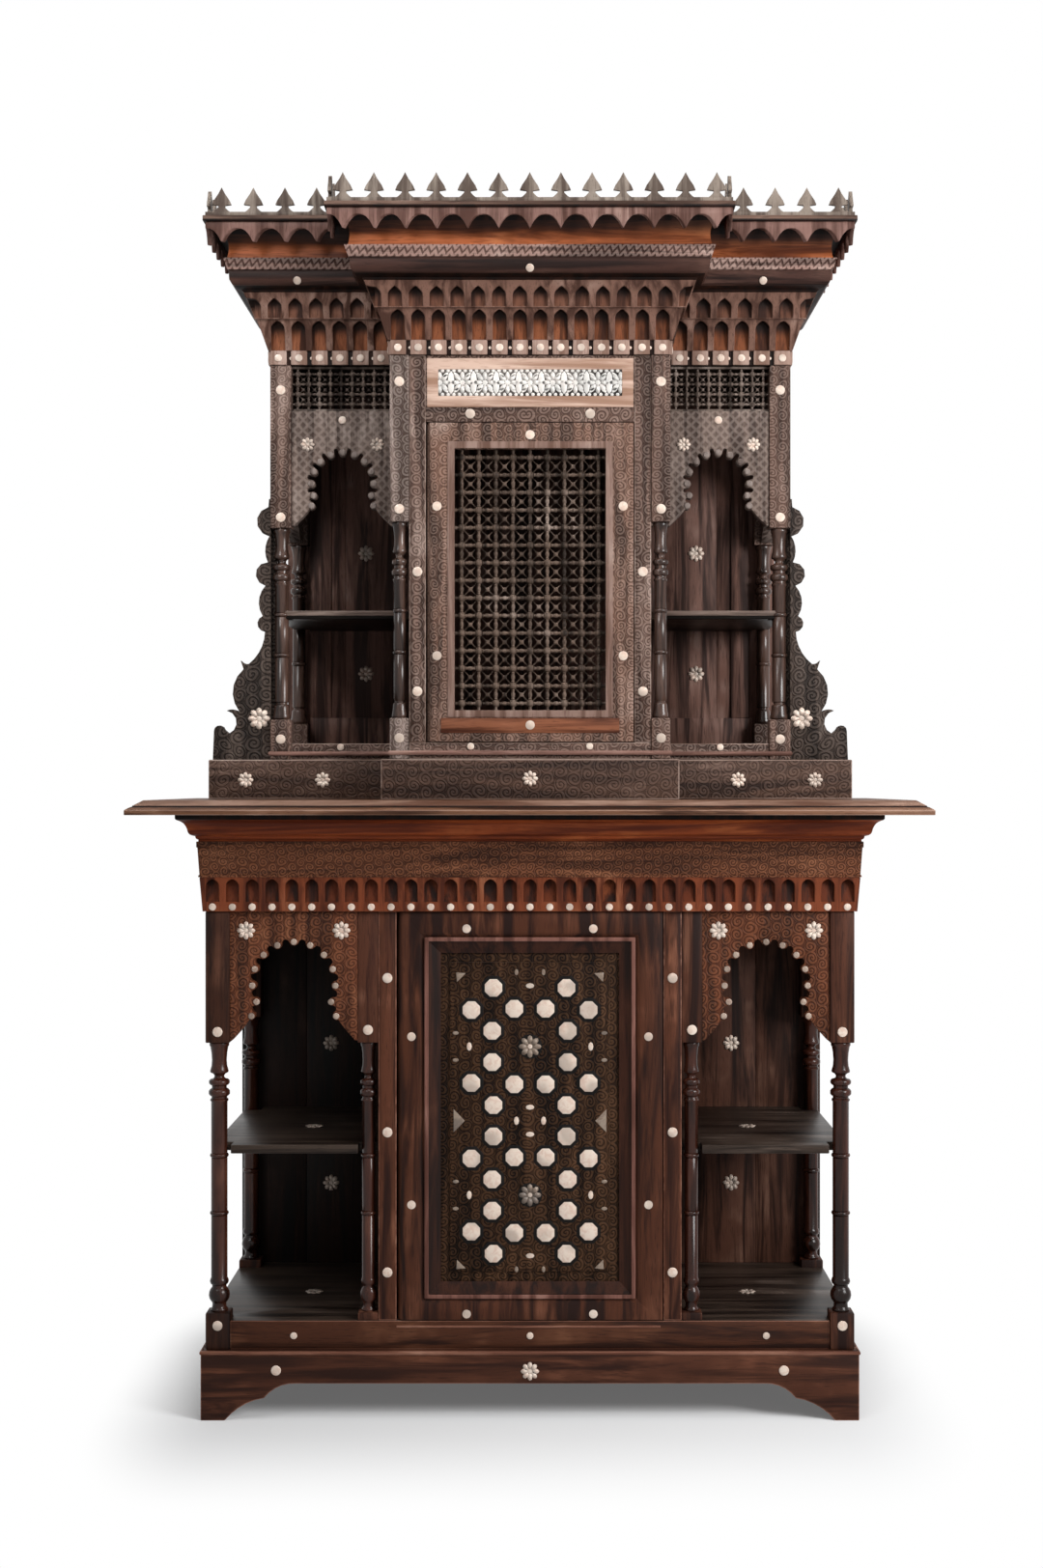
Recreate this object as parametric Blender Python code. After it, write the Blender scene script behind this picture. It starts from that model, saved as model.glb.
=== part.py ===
"""Two-stage inlaid cabinet with turned posts, cusped arches and two pivoting doors.

Metres, +Z up. The front faces -Y, and the origin lies on the ground under the middle of the cabinet's box.
"""
import math
from dataclasses import dataclass

import bmesh
import bpy
from mathutils import Vector

# Clearances: between pieces that touch, and round each door.
FIT = 0.0003
DOOR_GAP = 0.0015

# Plinth: three skirt boards on bracket feet and a back rail.
PLINTH_HEIGHT = 0.115
PLINTH_BOARD = 0.022
PLINTH_PROJECTION = 0.007
SKIRT_CLEARANCE = 0.061
FOOT_WIDTH = 0.040
FOOT_CUSP_REACH = 0.105
FOOT_CUSP_HEIGHT = 0.037
FOOT_REACH = 0.157
FOOT_FOIL_RISE = 0.007

# Lower stage, heights and then widths.
LOWER_FLOOR_HEIGHT = 0.048
LOWER_OPENING_HEIGHT = 0.679
LOWER_SHELF_HEIGHT = 0.290
LOWER_DOOR_WIDTH = 0.440
LOWER_STILE_WIDTH = 0.030
LOWER_INNER_POST = 0.034
LOWER_BAY_WIDTH = 0.212
LOWER_OUTER_POST = 0.040
LOWER_DEPTH = 0.430

# Between the stages: frieze, cyma moulding and table top.
FRIEZE_HEIGHT = 0.116
FRIEZE_FOOT = 0.018
FRIEZE_FOOT_PROJECTION = 0.004
FRIEZE_TOP_PROJECTION = 0.012
CYMA_HEIGHT = 0.045
CYMA_FOOT_FILLET = 0.009
CYMA_BELLY_FOOT = 0.018
CYMA_BELLY = 0.009
CYMA_TOP_FILLET = 0.007
CYMA_FOOT_PROJECTION = 0.010
CYMA_BELLY_PROJECTION = 0.024
CYMA_TOP_PROJECTION = 0.043
TABLE_THICKNESS = 0.024
TABLE_EDGE = 0.008
TABLE_BEVEL = 0.026
TABLE_FRONT_OVERHANG = 0.110
TABLE_SIDE_OVERHANG = 0.113

# Upper stage, heights and then widths.
UPPER_PLINTH_HEIGHT = 0.068
UPPER_PLINTH_PROJECTION = 0.014
UPPER_FLOOR_HEIGHT = 0.028
UPPER_OPENING_HEIGHT = 0.651
UPPER_SHELF_HEIGHT = 0.229
HEADER_HEIGHT = 0.112
HEADER_RAIL = 0.026
HEADER_FRAME = 0.014
SMALL_LATTICE_HEIGHT = 0.078
UPPER_DOOR_WIDTH = 0.348
UPPER_STILE_WIDTH = 0.028
UPPER_INNER_POST = 0.032
UPPER_BAY_WIDTH = 0.176
UPPER_OUTER_POST = 0.036
UPPER_DEPTH = 0.300
BREAKFRONT = 0.085
BRACKET_WIDTH = 0.100
BRACKET_HEIGHT = 0.450
BRACKET_BOARD = 0.018

# Boards shared by both stages.
BACK_BOARD = 0.015
BACK_FIELD_RECESS = 0.004
BACK_STILE = 0.030
PARTITION_BOARD = 0.018
ARCH_BOARD = 0.020
SHELF_BOARD = 0.0145
CEILING_BOARD = 0.018
FRIEZE_WALL = 0.030
POCKET_CROWN = 0.018
POCKET_WALL = 0.034
HEADER_BOARD = 0.022

# How far faces lie behind the front of the posts.
RAIL_SETBACK = 0.004
ARCH_SETBACK = 0.004
STILE_SETBACK = 0.004
DOOR_SETBACK = 0.002
SHELF_SETBACK = 0.010
SIDE_SETBACK = 0.010

# Cusped arches: the round part of the horseshoe and the flare below it that meets the posts, with
# rounded fingers along the round part and the first share of the flare.
LOWER_ARCH_RADIUS = 0.069
LOWER_ARCH_DROP = 0.120
LOWER_FLARE_DROP = 0.063
LOWER_SIDE_ARCH_RADIUS = 0.085
LOWER_FINGER_PITCH = 0.028
LOWER_FINGER_WIDTH = 0.015
LOWER_FINGER_RISE = 0.006
LOWER_GAP_DEPTH = 0.006
UPPER_ARCH_RADIUS = 0.054
UPPER_ARCH_DROP = 0.1255
UPPER_FLARE_DROP = 0.048
UPPER_SIDE_ARCH_RADIUS = 0.063
UPPER_FINGER_PITCH = 0.0212
UPPER_FINGER_WIDTH = 0.014
UPPER_FINGER_RISE = 0.0065
UPPER_GAP_DEPTH = 0.008
ARCH_SWEEP = math.radians(117)
FINGERS_ON_FLARE = 0.42
FOIL_STEPS = 5
FLARE_STEPS = 5
ARCH_TIP = 0.004
FLARE_POWER = 1.5

# Turned posts: length of each member below the square head and above the foot block,
# with its radius as a share of the largest radius that the square blank leaves.
# The lower inner posts stand on the floor board, in line with its rail.
POST_SIDES = 12
TURNING_ALLOWANCE = 0.0025
LOWER_FOOT_BLOCK = 0.061
UPPER_FOOT_BLOCK = 0.069
HEAD_BELOW_ARCH = 0.004
CAPITAL = (
    (0.000, 0.88),
    (0.040, 0.82),
    (0.058, 0.45),
    (0.066, 0.95),
    (0.075, 0.70),
    (0.084, 1.00),
    (0.094, 0.78),
)
LOWER_BASE = ((0.056, 0.78), (0.050, 0.92), (0.043, 0.70), (0.026, 1.00), (0.012, 0.68), (0.000, 0.80))
UPPER_BASE = ((0.032, 0.78), (0.027, 0.66), (0.020, 0.86), (0.004, 1.00), (0.000, 0.86))

# Doors: leaf, frame members, rebate that holds the panel, and pivot pins.
DOOR_THICKNESS = 0.024
DOOR_STILE = 0.047
LOWER_DOOR_TOP_RAIL = 0.044
LOWER_DOOR_FOOT_RAIL = 0.038
UPPER_DOOR_TOP_RAIL = 0.044
UPPER_DOOR_FOOT_RAIL = 0.052
DOOR_CHAMFER = 0.010
DOOR_CHAMFER_DEPTH = 0.006
DOOR_REBATE = 0.008
DOOR_REBATE_DEPTH = 0.012
DOOR_EDGE_STEPS = 6
PANEL_BORDER = 0.040
PANEL_RISE = 0.003
STOP_WIDTH = 0.008
STOP_DEPTH = 0.012
PIN_RADIUS = 0.004
PIN_REACH = 0.014
PIN_SIDES = 12
PIN_CLEARANCE = 0.0006
COLLAR_RADIUS = 0.008

# Lattices: plates of crossing bars.
LATTICE_PITCH = 0.0288
SMALL_LATTICE_PITCH = 0.024
LATTICE_BAR = 0.010
LATTICE_BORDER = 0.010
LATTICE_BOARD = 0.008

# Cornice: heights of its courses and how far each projects from the posts.
DOT_BAND_HEIGHT = 0.024
DOT_BAND_PROJECTION = 0.003
LOWER_TIER_HEIGHT = 0.050
LOWER_TIER_PROJECTION = 0.020
UPPER_TIER_HEIGHT = 0.042
UPPER_TIER_FOOT_PROJECTION = 0.024
UPPER_TIER_PROJECTION = 0.040
ROLL_HEIGHT = 0.033
ROLL_SHOULDER = 0.012
ROLL_SHOULDER_PROJECTION = 0.055
ROLL_FILLET = 0.008
ROLL_PROJECTION = 0.064
BAND_HEIGHT = 0.018
BAND_PROJECTION = 0.070
COVE_HEIGHT = 0.054
COVE_PROJECTION = 0.066
CORNICE_PROJECTION = 0.100
TOP_BOARD = 0.010
VALANCE_INSET = 0.004
VALANCE_BOARD = 0.006
VALANCE_RAIL = 0.011
VALANCE_DROP = 0.034
VALANCE_STEPS = 4
VALANCE_CURVE = 2.5

# Cresting: a low rail with a row of spade-shaped finials.
CREST_INSET = 0.004
CREST_BOARD = 0.008
CREST_RELIEF = 0.001
CREST_RAIL = 0.006
CREST_PITCH = 0.0495
FINIAL_HEIGHT = 0.044
FINIAL_FOOT = 0.019
FINIAL_FLARE = 0.011
FINIAL_FLARE_LEVEL = 0.005
FINIAL_NECK = 0.0055
FINIAL_NECK_LOW = 0.0105
FINIAL_NECK_HIGH = 0.0140
FINIAL_BARB = 0.0160
FINIAL_BARB_LEVEL = 0.0155
FINIAL_SHOULDER = 0.0130
FINIAL_SHOULDER_LEVEL = 0.0225
FINIAL_TAPER = 0.0055
FINIAL_TAPER_LEVEL = 0.0335

# Scrolled edge of a bracket from its foot up: where each scroll ends, as shares of the bracket's
# width and height, and how far it bulges, as a share of the width, hollow above zero.
BRACKET_SCROLL_SHARES = (
    (0.98, 0.110, 0.0),
    (0.80, 0.115, -0.085),
    (0.72, 0.100, 0.0),
    (0.76, 0.188, 0.15),
    (0.54, 0.184, -0.03),
    (0.47, 0.347, -0.15),
    (0.52, 0.381, 0.0),
    (0.38, 0.367, 0.02),
    (0.10, 0.491, 0.07),
    (0.14, 0.551, -0.11),
    (0.09, 0.668, -0.09),
    (0.05, 0.757, -0.19),
    (0.02, 0.858, -0.06),
    (0.04, 0.969, -0.21),
    (0.03, 1.000, 0.0),
)

SIDES = ((-1, "left"), (1, "right"))


@dataclass
class Fringe:
    """Fingers along an arch: their pitch, width and rise, and the depth of the gaps."""

    pitch: float
    width: float
    rise: float
    depth: float


@dataclass
class Stage:
    """One stage: its bays from the middle outwards, its levels, and its arches."""

    name: str
    door_width: float
    stile: float
    inner_post: float
    bay: float
    outer_post: float
    y_centre: float
    y_side: float
    inner_setback: float
    z_base: float
    z_inner: float
    z_floor: float
    z_ceiling: float
    shelf_height: float
    arch_top: float
    arch_drop: float
    arch_radius: float
    flare_drop: float
    side_radius: float
    fringe: Fringe
    foot_block: float
    base: tuple

    def __post_init__(self):
        self.x_door = self.door_width / 2
        self.x_stile_in = self.x_door + DOOR_GAP
        self.x_stile_out = self.x_stile_in + self.stile
        self.x_bay_in = self.x_stile_out + FIT + self.inner_post
        self.x_bay_out = self.x_bay_in + self.bay
        self.x_outer = self.x_bay_out + self.outer_post
        self.z_arch = self.arch_top - self.arch_drop
        self.z_spring = self.z_arch + self.arch_radius * math.cos(ARCH_SWEEP) - self.flare_drop
        self.z_head = self.z_spring - HEAD_BELOW_ARCH
        self.y_inner = self.y_centre + self.inner_setback
        self.inner_post_back = self.y_inner + self.inner_post + FIT

    def plan(self, offset, y_back):
        """Front and side outline of the stage, moved outwards by offset, from back left to back right."""
        half = self.x_outer + offset
        front = self.y_side - offset
        points = [(-half, y_back), (-half, front)]
        if self.y_centre < self.y_side:
            step = self.x_bay_in + offset
            proud = self.y_centre - offset
            points += [(-step, front), (-step, proud), (step, proud), (step, front)]
        return points + [(half, front), (half, y_back)]


# Depths: the table top is as deep as the lower stage and its front overhang, centred on the origin.
TABLE_DEPTH = LOWER_DEPTH + TABLE_FRONT_OVERHANG
Y_BACK = TABLE_DEPTH / 2
Y_INSIDE = Y_BACK - BACK_BOARD
Y_LOWER = Y_BACK - LOWER_DEPTH
Y_SIDE = Y_BACK - UPPER_DEPTH
Y_CENTRE = Y_SIDE - BREAKFRONT

# Levels, from the ground up.
Z_LOWER_FLOOR = PLINTH_HEIGHT + LOWER_FLOOR_HEIGHT
Z_LOWER_CEILING = Z_LOWER_FLOOR + LOWER_OPENING_HEIGHT
Z_CYMA = Z_LOWER_CEILING + FRIEZE_HEIGHT
Z_TABLE_UNDER = Z_CYMA + CYMA_HEIGHT
Z_TABLE = Z_TABLE_UNDER + TABLE_THICKNESS
Z_UPPER_BASE = Z_TABLE + UPPER_PLINTH_HEIGHT
Z_UPPER_FLOOR = Z_UPPER_BASE + UPPER_FLOOR_HEIGHT
Z_UPPER_CEILING = Z_UPPER_FLOOR + UPPER_OPENING_HEIGHT
Z_HEADER = Z_UPPER_CEILING - HEADER_HEIGHT
Z_LOWER_TIER = Z_UPPER_CEILING + DOT_BAND_HEIGHT
Z_UPPER_TIER = Z_LOWER_TIER + LOWER_TIER_HEIGHT
Z_ROLL = Z_UPPER_TIER + UPPER_TIER_HEIGHT
Z_BAND = Z_ROLL + ROLL_HEIGHT
Z_COVE = Z_BAND + BAND_HEIGHT
Z_TOP_BOARD = Z_COVE + COVE_HEIGHT
Z_CREST = Z_TOP_BOARD + TOP_BOARD

LOWER = Stage(
    name="lower",
    door_width=LOWER_DOOR_WIDTH,
    stile=LOWER_STILE_WIDTH,
    inner_post=LOWER_INNER_POST,
    bay=LOWER_BAY_WIDTH,
    outer_post=LOWER_OUTER_POST,
    y_centre=Y_LOWER,
    y_side=Y_LOWER,
    inner_setback=RAIL_SETBACK,
    z_base=PLINTH_HEIGHT,
    z_inner=Z_LOWER_FLOOR,
    z_floor=Z_LOWER_FLOOR,
    z_ceiling=Z_LOWER_CEILING,
    shelf_height=LOWER_SHELF_HEIGHT,
    arch_top=Z_LOWER_CEILING,
    arch_drop=LOWER_ARCH_DROP,
    arch_radius=LOWER_ARCH_RADIUS,
    flare_drop=LOWER_FLARE_DROP,
    side_radius=LOWER_SIDE_ARCH_RADIUS,
    fringe=Fringe(LOWER_FINGER_PITCH, LOWER_FINGER_WIDTH, LOWER_FINGER_RISE, LOWER_GAP_DEPTH),
    foot_block=LOWER_FOOT_BLOCK,
    base=LOWER_BASE,
)

UPPER = Stage(
    name="upper",
    door_width=UPPER_DOOR_WIDTH,
    stile=UPPER_STILE_WIDTH,
    inner_post=UPPER_INNER_POST,
    bay=UPPER_BAY_WIDTH,
    outer_post=UPPER_OUTER_POST,
    y_centre=Y_CENTRE,
    y_side=Y_SIDE,
    inner_setback=0.0,
    z_base=Z_UPPER_BASE,
    z_inner=Z_UPPER_BASE,
    z_floor=Z_UPPER_FLOOR,
    z_ceiling=Z_UPPER_CEILING,
    shelf_height=UPPER_SHELF_HEIGHT,
    arch_top=Z_UPPER_CEILING - SMALL_LATTICE_HEIGHT,
    arch_drop=UPPER_ARCH_DROP,
    arch_radius=UPPER_ARCH_RADIUS,
    flare_drop=UPPER_FLARE_DROP,
    side_radius=UPPER_SIDE_ARCH_RADIUS,
    fringe=Fringe(UPPER_FINGER_PITCH, UPPER_FINGER_WIDTH, UPPER_FINGER_RISE, UPPER_GAP_DEPTH),
    foot_block=UPPER_FOOT_BLOCK,
    base=UPPER_BASE,
)

# Colours are linear, read from the photograph: base colour, roughness, metallic.
FINISHES = {
    "red_walnut": ((0.055, 0.019, 0.011), 0.45, 0.0),
    "grey_walnut": ((0.060, 0.032, 0.023), 0.50, 0.0),
    "amber_walnut": ((0.150, 0.052, 0.020), 0.40, 0.0),
    "dark_walnut": ((0.022, 0.016, 0.013), 0.35, 0.0),
    "iron": ((0.120, 0.110, 0.100), 0.45, 1.0),
}


def clear_scene():
    """Empty the file of objects and meshes."""
    for thing in list(bpy.data.objects):
        bpy.data.objects.remove(thing)
    for mesh in list(bpy.data.meshes):
        bpy.data.meshes.remove(mesh)


def finish(name, node):
    """A Principled material of one piece in one of the finishes."""
    colour, roughness, metallic = FINISHES[name]
    material = bpy.data.materials.new(f"{node}_{name}")
    material.use_nodes = True
    shader = material.node_tree.nodes["Principled BSDF"]
    shader.inputs["Base Color"].default_value = (*colour, 1.0)
    shader.inputs["Roughness"].default_value = roughness
    shader.inputs["Metallic"].default_value = metallic
    return material


def place(name, shape, surface, axis=None):
    """Turn a bmesh in world coordinates into an object, its origin at its middle or on its joint's empty."""
    bmesh.ops.recalc_face_normals(shape, faces=shape.faces)
    lows = [min(vert.co[i] for vert in shape.verts) for i in range(3)]
    highs = [max(vert.co[i] for vert in shape.verts) for i in range(3)]
    origin = axis.location.copy() if axis else (Vector(lows) + Vector(highs)) / 2
    bmesh.ops.translate(shape, verts=shape.verts, vec=-origin)
    mesh = bpy.data.meshes.new(name)
    shape.to_mesh(mesh)
    shape.free()
    thing = bpy.data.objects.new(name, mesh)
    bpy.context.scene.collection.objects.link(thing)
    if axis:
        thing.parent = axis
    else:
        thing.location = origin
    mesh.materials.append(finish(surface, name))
    return thing


def combine(thing, tool_shape, operation):
    """Cut or join a bmesh into an object with an applied Boolean."""
    tool = place("tool", tool_shape, "iron")
    modifier = thing.modifiers.new(operation, "BOOLEAN")
    modifier.operation = operation
    modifier.object = tool
    bpy.context.view_layer.update()
    bpy.context.view_layer.objects.active = thing
    bpy.ops.object.modifier_apply(modifier=modifier.name)
    mesh = tool.data
    bpy.data.objects.remove(tool)
    bpy.data.meshes.remove(mesh)


def prism(outline, axis, low, high):
    """Extrude a flat outline along an axis: x takes (y, z) points, y takes (x, z) and z takes (x, y)."""
    place_at = {
        "x": lambda u, v: (low, u, v),
        "y": lambda u, v: (u, low, v),
        "z": lambda u, v: (u, v, low),
    }[axis]
    shape = bmesh.new()
    face = shape.faces.new([shape.verts.new(place_at(u, v)) for u, v in outline])
    swept = bmesh.ops.extrude_face_region(shape, geom=[face])
    tops = [item for item in swept["geom"] if isinstance(item, bmesh.types.BMVert)]
    step = Vector([high - low if letter == axis else 0.0 for letter in "xyz"])
    bmesh.ops.translate(shape, verts=tops, vec=step)
    return shape


def box(x_low, x_high, y_low, y_high, z_low, z_high):
    """A plain board."""
    return prism([(x_low, y_low), (x_high, y_low), (x_high, y_high), (x_low, y_high)], "z", z_low, z_high)


def loft(loops, ring=False):
    """Join equal closed loops in turn, and cap the ends unless they form a ring."""
    shape = bmesh.new()
    rows = [[shape.verts.new(point) for point in loop] for loop in loops]
    count = len(rows[0])
    pairs = list(zip(rows, rows[1:]))
    if ring:
        pairs.append((rows[-1], rows[0]))
    else:
        shape.faces.new(rows[0])
        shape.faces.new(rows[-1])
    for one, two in pairs:
        for i in range(count):
            j = (i + 1) % count
            shape.faces.new((one[i], one[j], two[j], two[i]))
    return shape


def sweep(profile, stage, y_back):
    """Run a closed profile of (offset, height) points round the front and sides of a stage."""
    rows = [[Vector((x, y, z)) for x, y in stage.plan(offset, y_back)] for offset, z in profile]
    stations = [[row[i] for row in rows] for i in range(len(rows[0]))]
    return loft(stations)


def rectangle(x_low, x_high, z_low, z_high, y):
    """Four corners of an upright rectangle."""
    return [
        Vector((x_low, y, z_low)),
        Vector((x_high, y, z_low)),
        Vector((x_high, y, z_high)),
        Vector((x_low, y, z_high)),
    ]


def foil(start, end, rise):
    """Points of an arc without its end, bulging to the left on the way, or to the right below zero.

    An arc deeper than half its width gets straight legs and a round end.
    """
    if rise == 0.0:
        return [tuple(start)]
    start = Vector(start)
    end = Vector(end)
    along = end - start
    length = along.length
    along.normalize()
    left = Vector((-along.y, along.x))
    leg = abs(rise) - length / 2
    if leg > 0.0:
        aside = left * math.copysign(leg, rise)
        round_end = foil(start + aside, end + aside, math.copysign(length / 2, rise))
        return [tuple(start)] + round_end + [tuple(end + aside)]
    radius = (length * length / 4 + rise * rise) / (2 * rise)
    centre = (start + end) / 2 - left * (radius - rise)
    half_turn = math.asin(max(-1.0, min(1.0, length / (2 * radius))))
    points = []
    for i in range(FOIL_STEPS):
        turn = half_turn * (2 * i / FOIL_STEPS - 1)
        points.append(tuple(centre + radius * (left * math.cos(turn) + along * math.sin(turn))))
    return points


def foils(cusps, rise):
    """A run of arcs between cusps."""
    points = []
    for start, end in zip(cusps, cusps[1:]):
        points += foil(start, end, rise)
    return points + [cusps[-1]]


def arch_edge(half, radius, flare_drop, fringe):
    """Half an arch's edge from crown to foot, about its round part's middle.

    Gives the ends of the fingers, then the points of the plain flare below the last finger.
    """
    neck_x = radius * math.sin(ARCH_SWEEP)
    neck_z = radius * math.cos(ARCH_SWEEP)
    round_length = radius * ARCH_SWEEP
    flare_length = math.hypot(half - neck_x, flare_drop)
    length = round_length + flare_length

    def point(distance):
        if distance <= round_length:
            return (radius * math.sin(distance / radius), radius * math.cos(distance / radius))
        share = (distance - round_length) / flare_length
        return (neck_x + (half - neck_x) * share**FLARE_POWER, neck_z - flare_drop * share)

    count = int((round_length + FINGERS_ON_FLARE * flare_length) / fringe.pitch)
    ends = [fringe.width / 2]
    for i in range(1, count + 1):
        ends += [i * fringe.pitch - fringe.width / 2, i * fringe.pitch + fringe.width / 2]
    last = ends[-1]
    plain = [last + (length - last) * i / FLARE_STEPS for i in range(1, FLARE_STEPS + 1)]
    return [point(distance) for distance in ends], [point(distance) for distance in plain]


def arch_outline(low, high, middle, z_top, z_arch, edge, fringe):
    """Outline of a board between two posts with a cusped arch cut up from its lower edge."""
    fingers, flare = edge
    ends = [(-u, v) for u, v in reversed(fingers)] + fingers
    fretted = []
    for i in range(len(ends) - 1):
        rise = -fringe.rise if i % 2 == 0 else fringe.depth
        fretted += foil(ends[i], ends[i + 1], rise)
    edge_points = [(-u, v) for u, v in reversed(flare)] + fretted + [ends[-1]] + flare
    intrados = [(middle + u, z_arch + v) for u, v in edge_points]
    foot = intrados[-1][1]
    return [(low, z_top), (low, foot)] + intrados + [(high, foot), (high, z_top)]


def skirt_outline(low, high):
    """Outline of a skirt board with a bracket foot at each end."""
    rising = [
        (low + FOOT_WIDTH, 0.0),
        (low + FOOT_CUSP_REACH, FOOT_CUSP_HEIGHT),
        (low + FOOT_REACH, SKIRT_CLEARANCE),
    ]
    falling = [(low + high - u, v) for u, v in reversed(rising)]
    top = PLINTH_HEIGHT - FIT
    feet = foils(rising, FOOT_FOIL_RISE) + foils(falling, FOOT_FOIL_RISE)
    return [(low, 0.0)] + feet + [(high, 0.0), (high, top), (low, top)]


def post_ring(x, y, z, reach, square):
    """One cross-section of a post, square or round, with a vertex on each corner of the square."""
    points = []
    for i in range(POST_SIDES):
        turn = math.pi / 4 + 2 * math.pi * i / POST_SIDES
        c = math.cos(turn)
        s = math.sin(turn)
        scale = reach / max(abs(c), abs(s)) if square else reach
        points.append(Vector((x + c * scale, y + s * scale, z)))
    return points


def turned_post(x, y, size, z_low, stage):
    """A post with a square foot block, a turned shaft with capital and base, and a square head."""
    half = size / 2
    largest = half - TURNING_ALLOWANCE
    block_top = stage.z_base + stage.foot_block
    z_head = stage.z_head
    z_high = stage.z_ceiling - FIT
    loops = [post_ring(x, y, z_low, half, True), post_ring(x, y, block_top, half, True)]
    loops += [post_ring(x, y, block_top + up, largest * share, False) for up, share in reversed(stage.base)]
    loops += [post_ring(x, y, z_head - down, largest * share, False) for down, share in reversed(CAPITAL)]
    loops += [post_ring(x, y, z_head, half, True), post_ring(x, y, z_high, half, True)]
    return loft(loops)


def lattice(x_low, x_high, z_low, z_high, y_low, pitch):
    """A plate of crossing bars inside a border."""

    def lines(low, high):
        inner_low = low + LATTICE_BORDER
        inner_high = high - LATTICE_BORDER
        count = max(2, round((inner_high - inner_low) / pitch))
        step = (inner_high - inner_low + LATTICE_BAR) / count
        marks = [low]
        for i in range(count):
            marks += [inner_low + i * step, inner_low + (i + 1) * step - LATTICE_BAR]
        return marks + [high]

    xs = lines(x_low, x_high)
    zs = lines(z_low, z_high)
    shape = bmesh.new()
    grid = [[shape.verts.new((x, y_low, z)) for z in zs] for x in xs]
    for i in range(len(xs) - 1):
        for j in range(len(zs) - 1):
            if i % 2 == 0 or j % 2 == 0:
                shape.faces.new((grid[i][j], grid[i + 1][j], grid[i + 1][j + 1], grid[i][j + 1]))
    swept = bmesh.ops.extrude_face_region(shape, geom=list(shape.faces))
    backs = [item for item in swept["geom"] if isinstance(item, bmesh.types.BMVert)]
    bmesh.ops.translate(shape, verts=backs, vec=(0.0, LATTICE_BOARD, 0.0))
    return shape


def pin(x, y, z_seat, up):
    """A pivot pin whose collar lies in the door gap, between its fixed seat and the door."""
    rings = (
        (-PIN_REACH, PIN_RADIUS),
        (FIT, PIN_RADIUS),
        (FIT, COLLAR_RADIUS),
        (DOOR_GAP - FIT, COLLAR_RADIUS),
        (DOOR_GAP - FIT, PIN_RADIUS),
        (DOOR_GAP + PIN_REACH, PIN_RADIUS),
    )
    return turned(x, y, [(z_seat + up * height, radius) for height, radius in rings])


def turned(x, y, rings):
    """A round solid from (height, radius) rings."""
    loops = []
    for z, radius in rings:
        turns = [2 * math.pi * i / PIN_SIDES for i in range(PIN_SIDES)]
        loops.append([Vector((x + radius * math.cos(t), y + radius * math.sin(t), z)) for t in turns])
    return loft(loops)


def pin_hole(x, y, z_one, z_two):
    """Cutter for a pin's hole."""
    radius = PIN_RADIUS + PIN_CLEARANCE
    return turned(x, y, [(z_one, radius), (z_two, radius)])


def build_plinth():
    """Skirt boards with bracket feet under the front and sides, and a rail at the back."""
    half = LOWER.x_outer + PLINTH_PROJECTION
    front = Y_LOWER - PLINTH_PROJECTION
    back_of_front = front + PLINTH_BOARD
    place("plinth_front", prism(skirt_outline(-half, half), "y", front, back_of_front), "red_walnut")
    side_outline = skirt_outline(back_of_front + FIT, Y_BACK)
    for side, word in SIDES:
        board = prism(side_outline, "x", side * (half - PLINTH_BOARD), side * half)
        place(f"plinth_{word}", board, "red_walnut")
    rail_half = half - PLINTH_BOARD - FIT
    rail = box(-rail_half, rail_half, Y_BACK - PLINTH_BOARD, Y_BACK, SKIRT_CLEARANCE, PLINTH_HEIGHT - FIT)
    place("plinth_back", rail, "red_walnut")


def build_floor(stage, surface):
    """Floor board with a rail in front, notched round the posts beside it and hollow underneath."""
    outer_post_back = stage.y_side + stage.outer_post + FIT
    back_post_front = Y_INSIDE - stage.outer_post - FIT
    inner = stage.x_bay_in + FIT
    outer = stage.x_bay_out - FIT
    right = []
    if stage.z_inner < stage.z_floor:
        right = [
            (stage.x_stile_out, stage.y_centre + RAIL_SETBACK),
            (stage.x_stile_out, stage.inner_post_back),
            (inner, stage.inner_post_back),
            (inner, stage.y_side + RAIL_SETBACK),
        ]
    right += [
        (outer, stage.y_side + RAIL_SETBACK),
        (outer, outer_post_back),
        (stage.x_outer, outer_post_back),
        (stage.x_outer, back_post_front),
        (outer, back_post_front),
        (outer, Y_INSIDE - FIT),
    ]
    outline = [(-x, y) for x, y in reversed(right)] + right
    top = stage.z_floor - FIT
    board = place(f"{stage.name}_floor", prism(outline, "z", stage.z_base, top), surface)
    crown = min(POCKET_CROWN, (stage.z_floor - stage.z_base) / 2)
    pocket = box(
        POCKET_WALL - outer,
        outer - POCKET_WALL,
        max(stage.inner_post_back, outer_post_back) + POCKET_WALL,
        back_post_front - POCKET_WALL,
        stage.z_base - POCKET_CROWN,
        top - crown,
    )
    combine(board, pocket, "DIFFERENCE")
    return board


def build_back(stage, z_low, z_high, surface):
    """Back board with a sunk field behind each niche."""
    field_end = stage.x_bay_out - BACK_STILE
    right = [
        (stage.x_stile_out, Y_INSIDE),
        (stage.x_stile_out, Y_INSIDE + BACK_FIELD_RECESS),
        (field_end, Y_INSIDE + BACK_FIELD_RECESS),
        (field_end, Y_INSIDE),
        (stage.x_outer, Y_INSIDE),
        (stage.x_outer, Y_BACK),
    ]
    outline = [(-x, y) for x, y in reversed(right)] + right
    place(f"{stage.name}_back", prism(outline, "z", z_low, z_high), surface)


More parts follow.
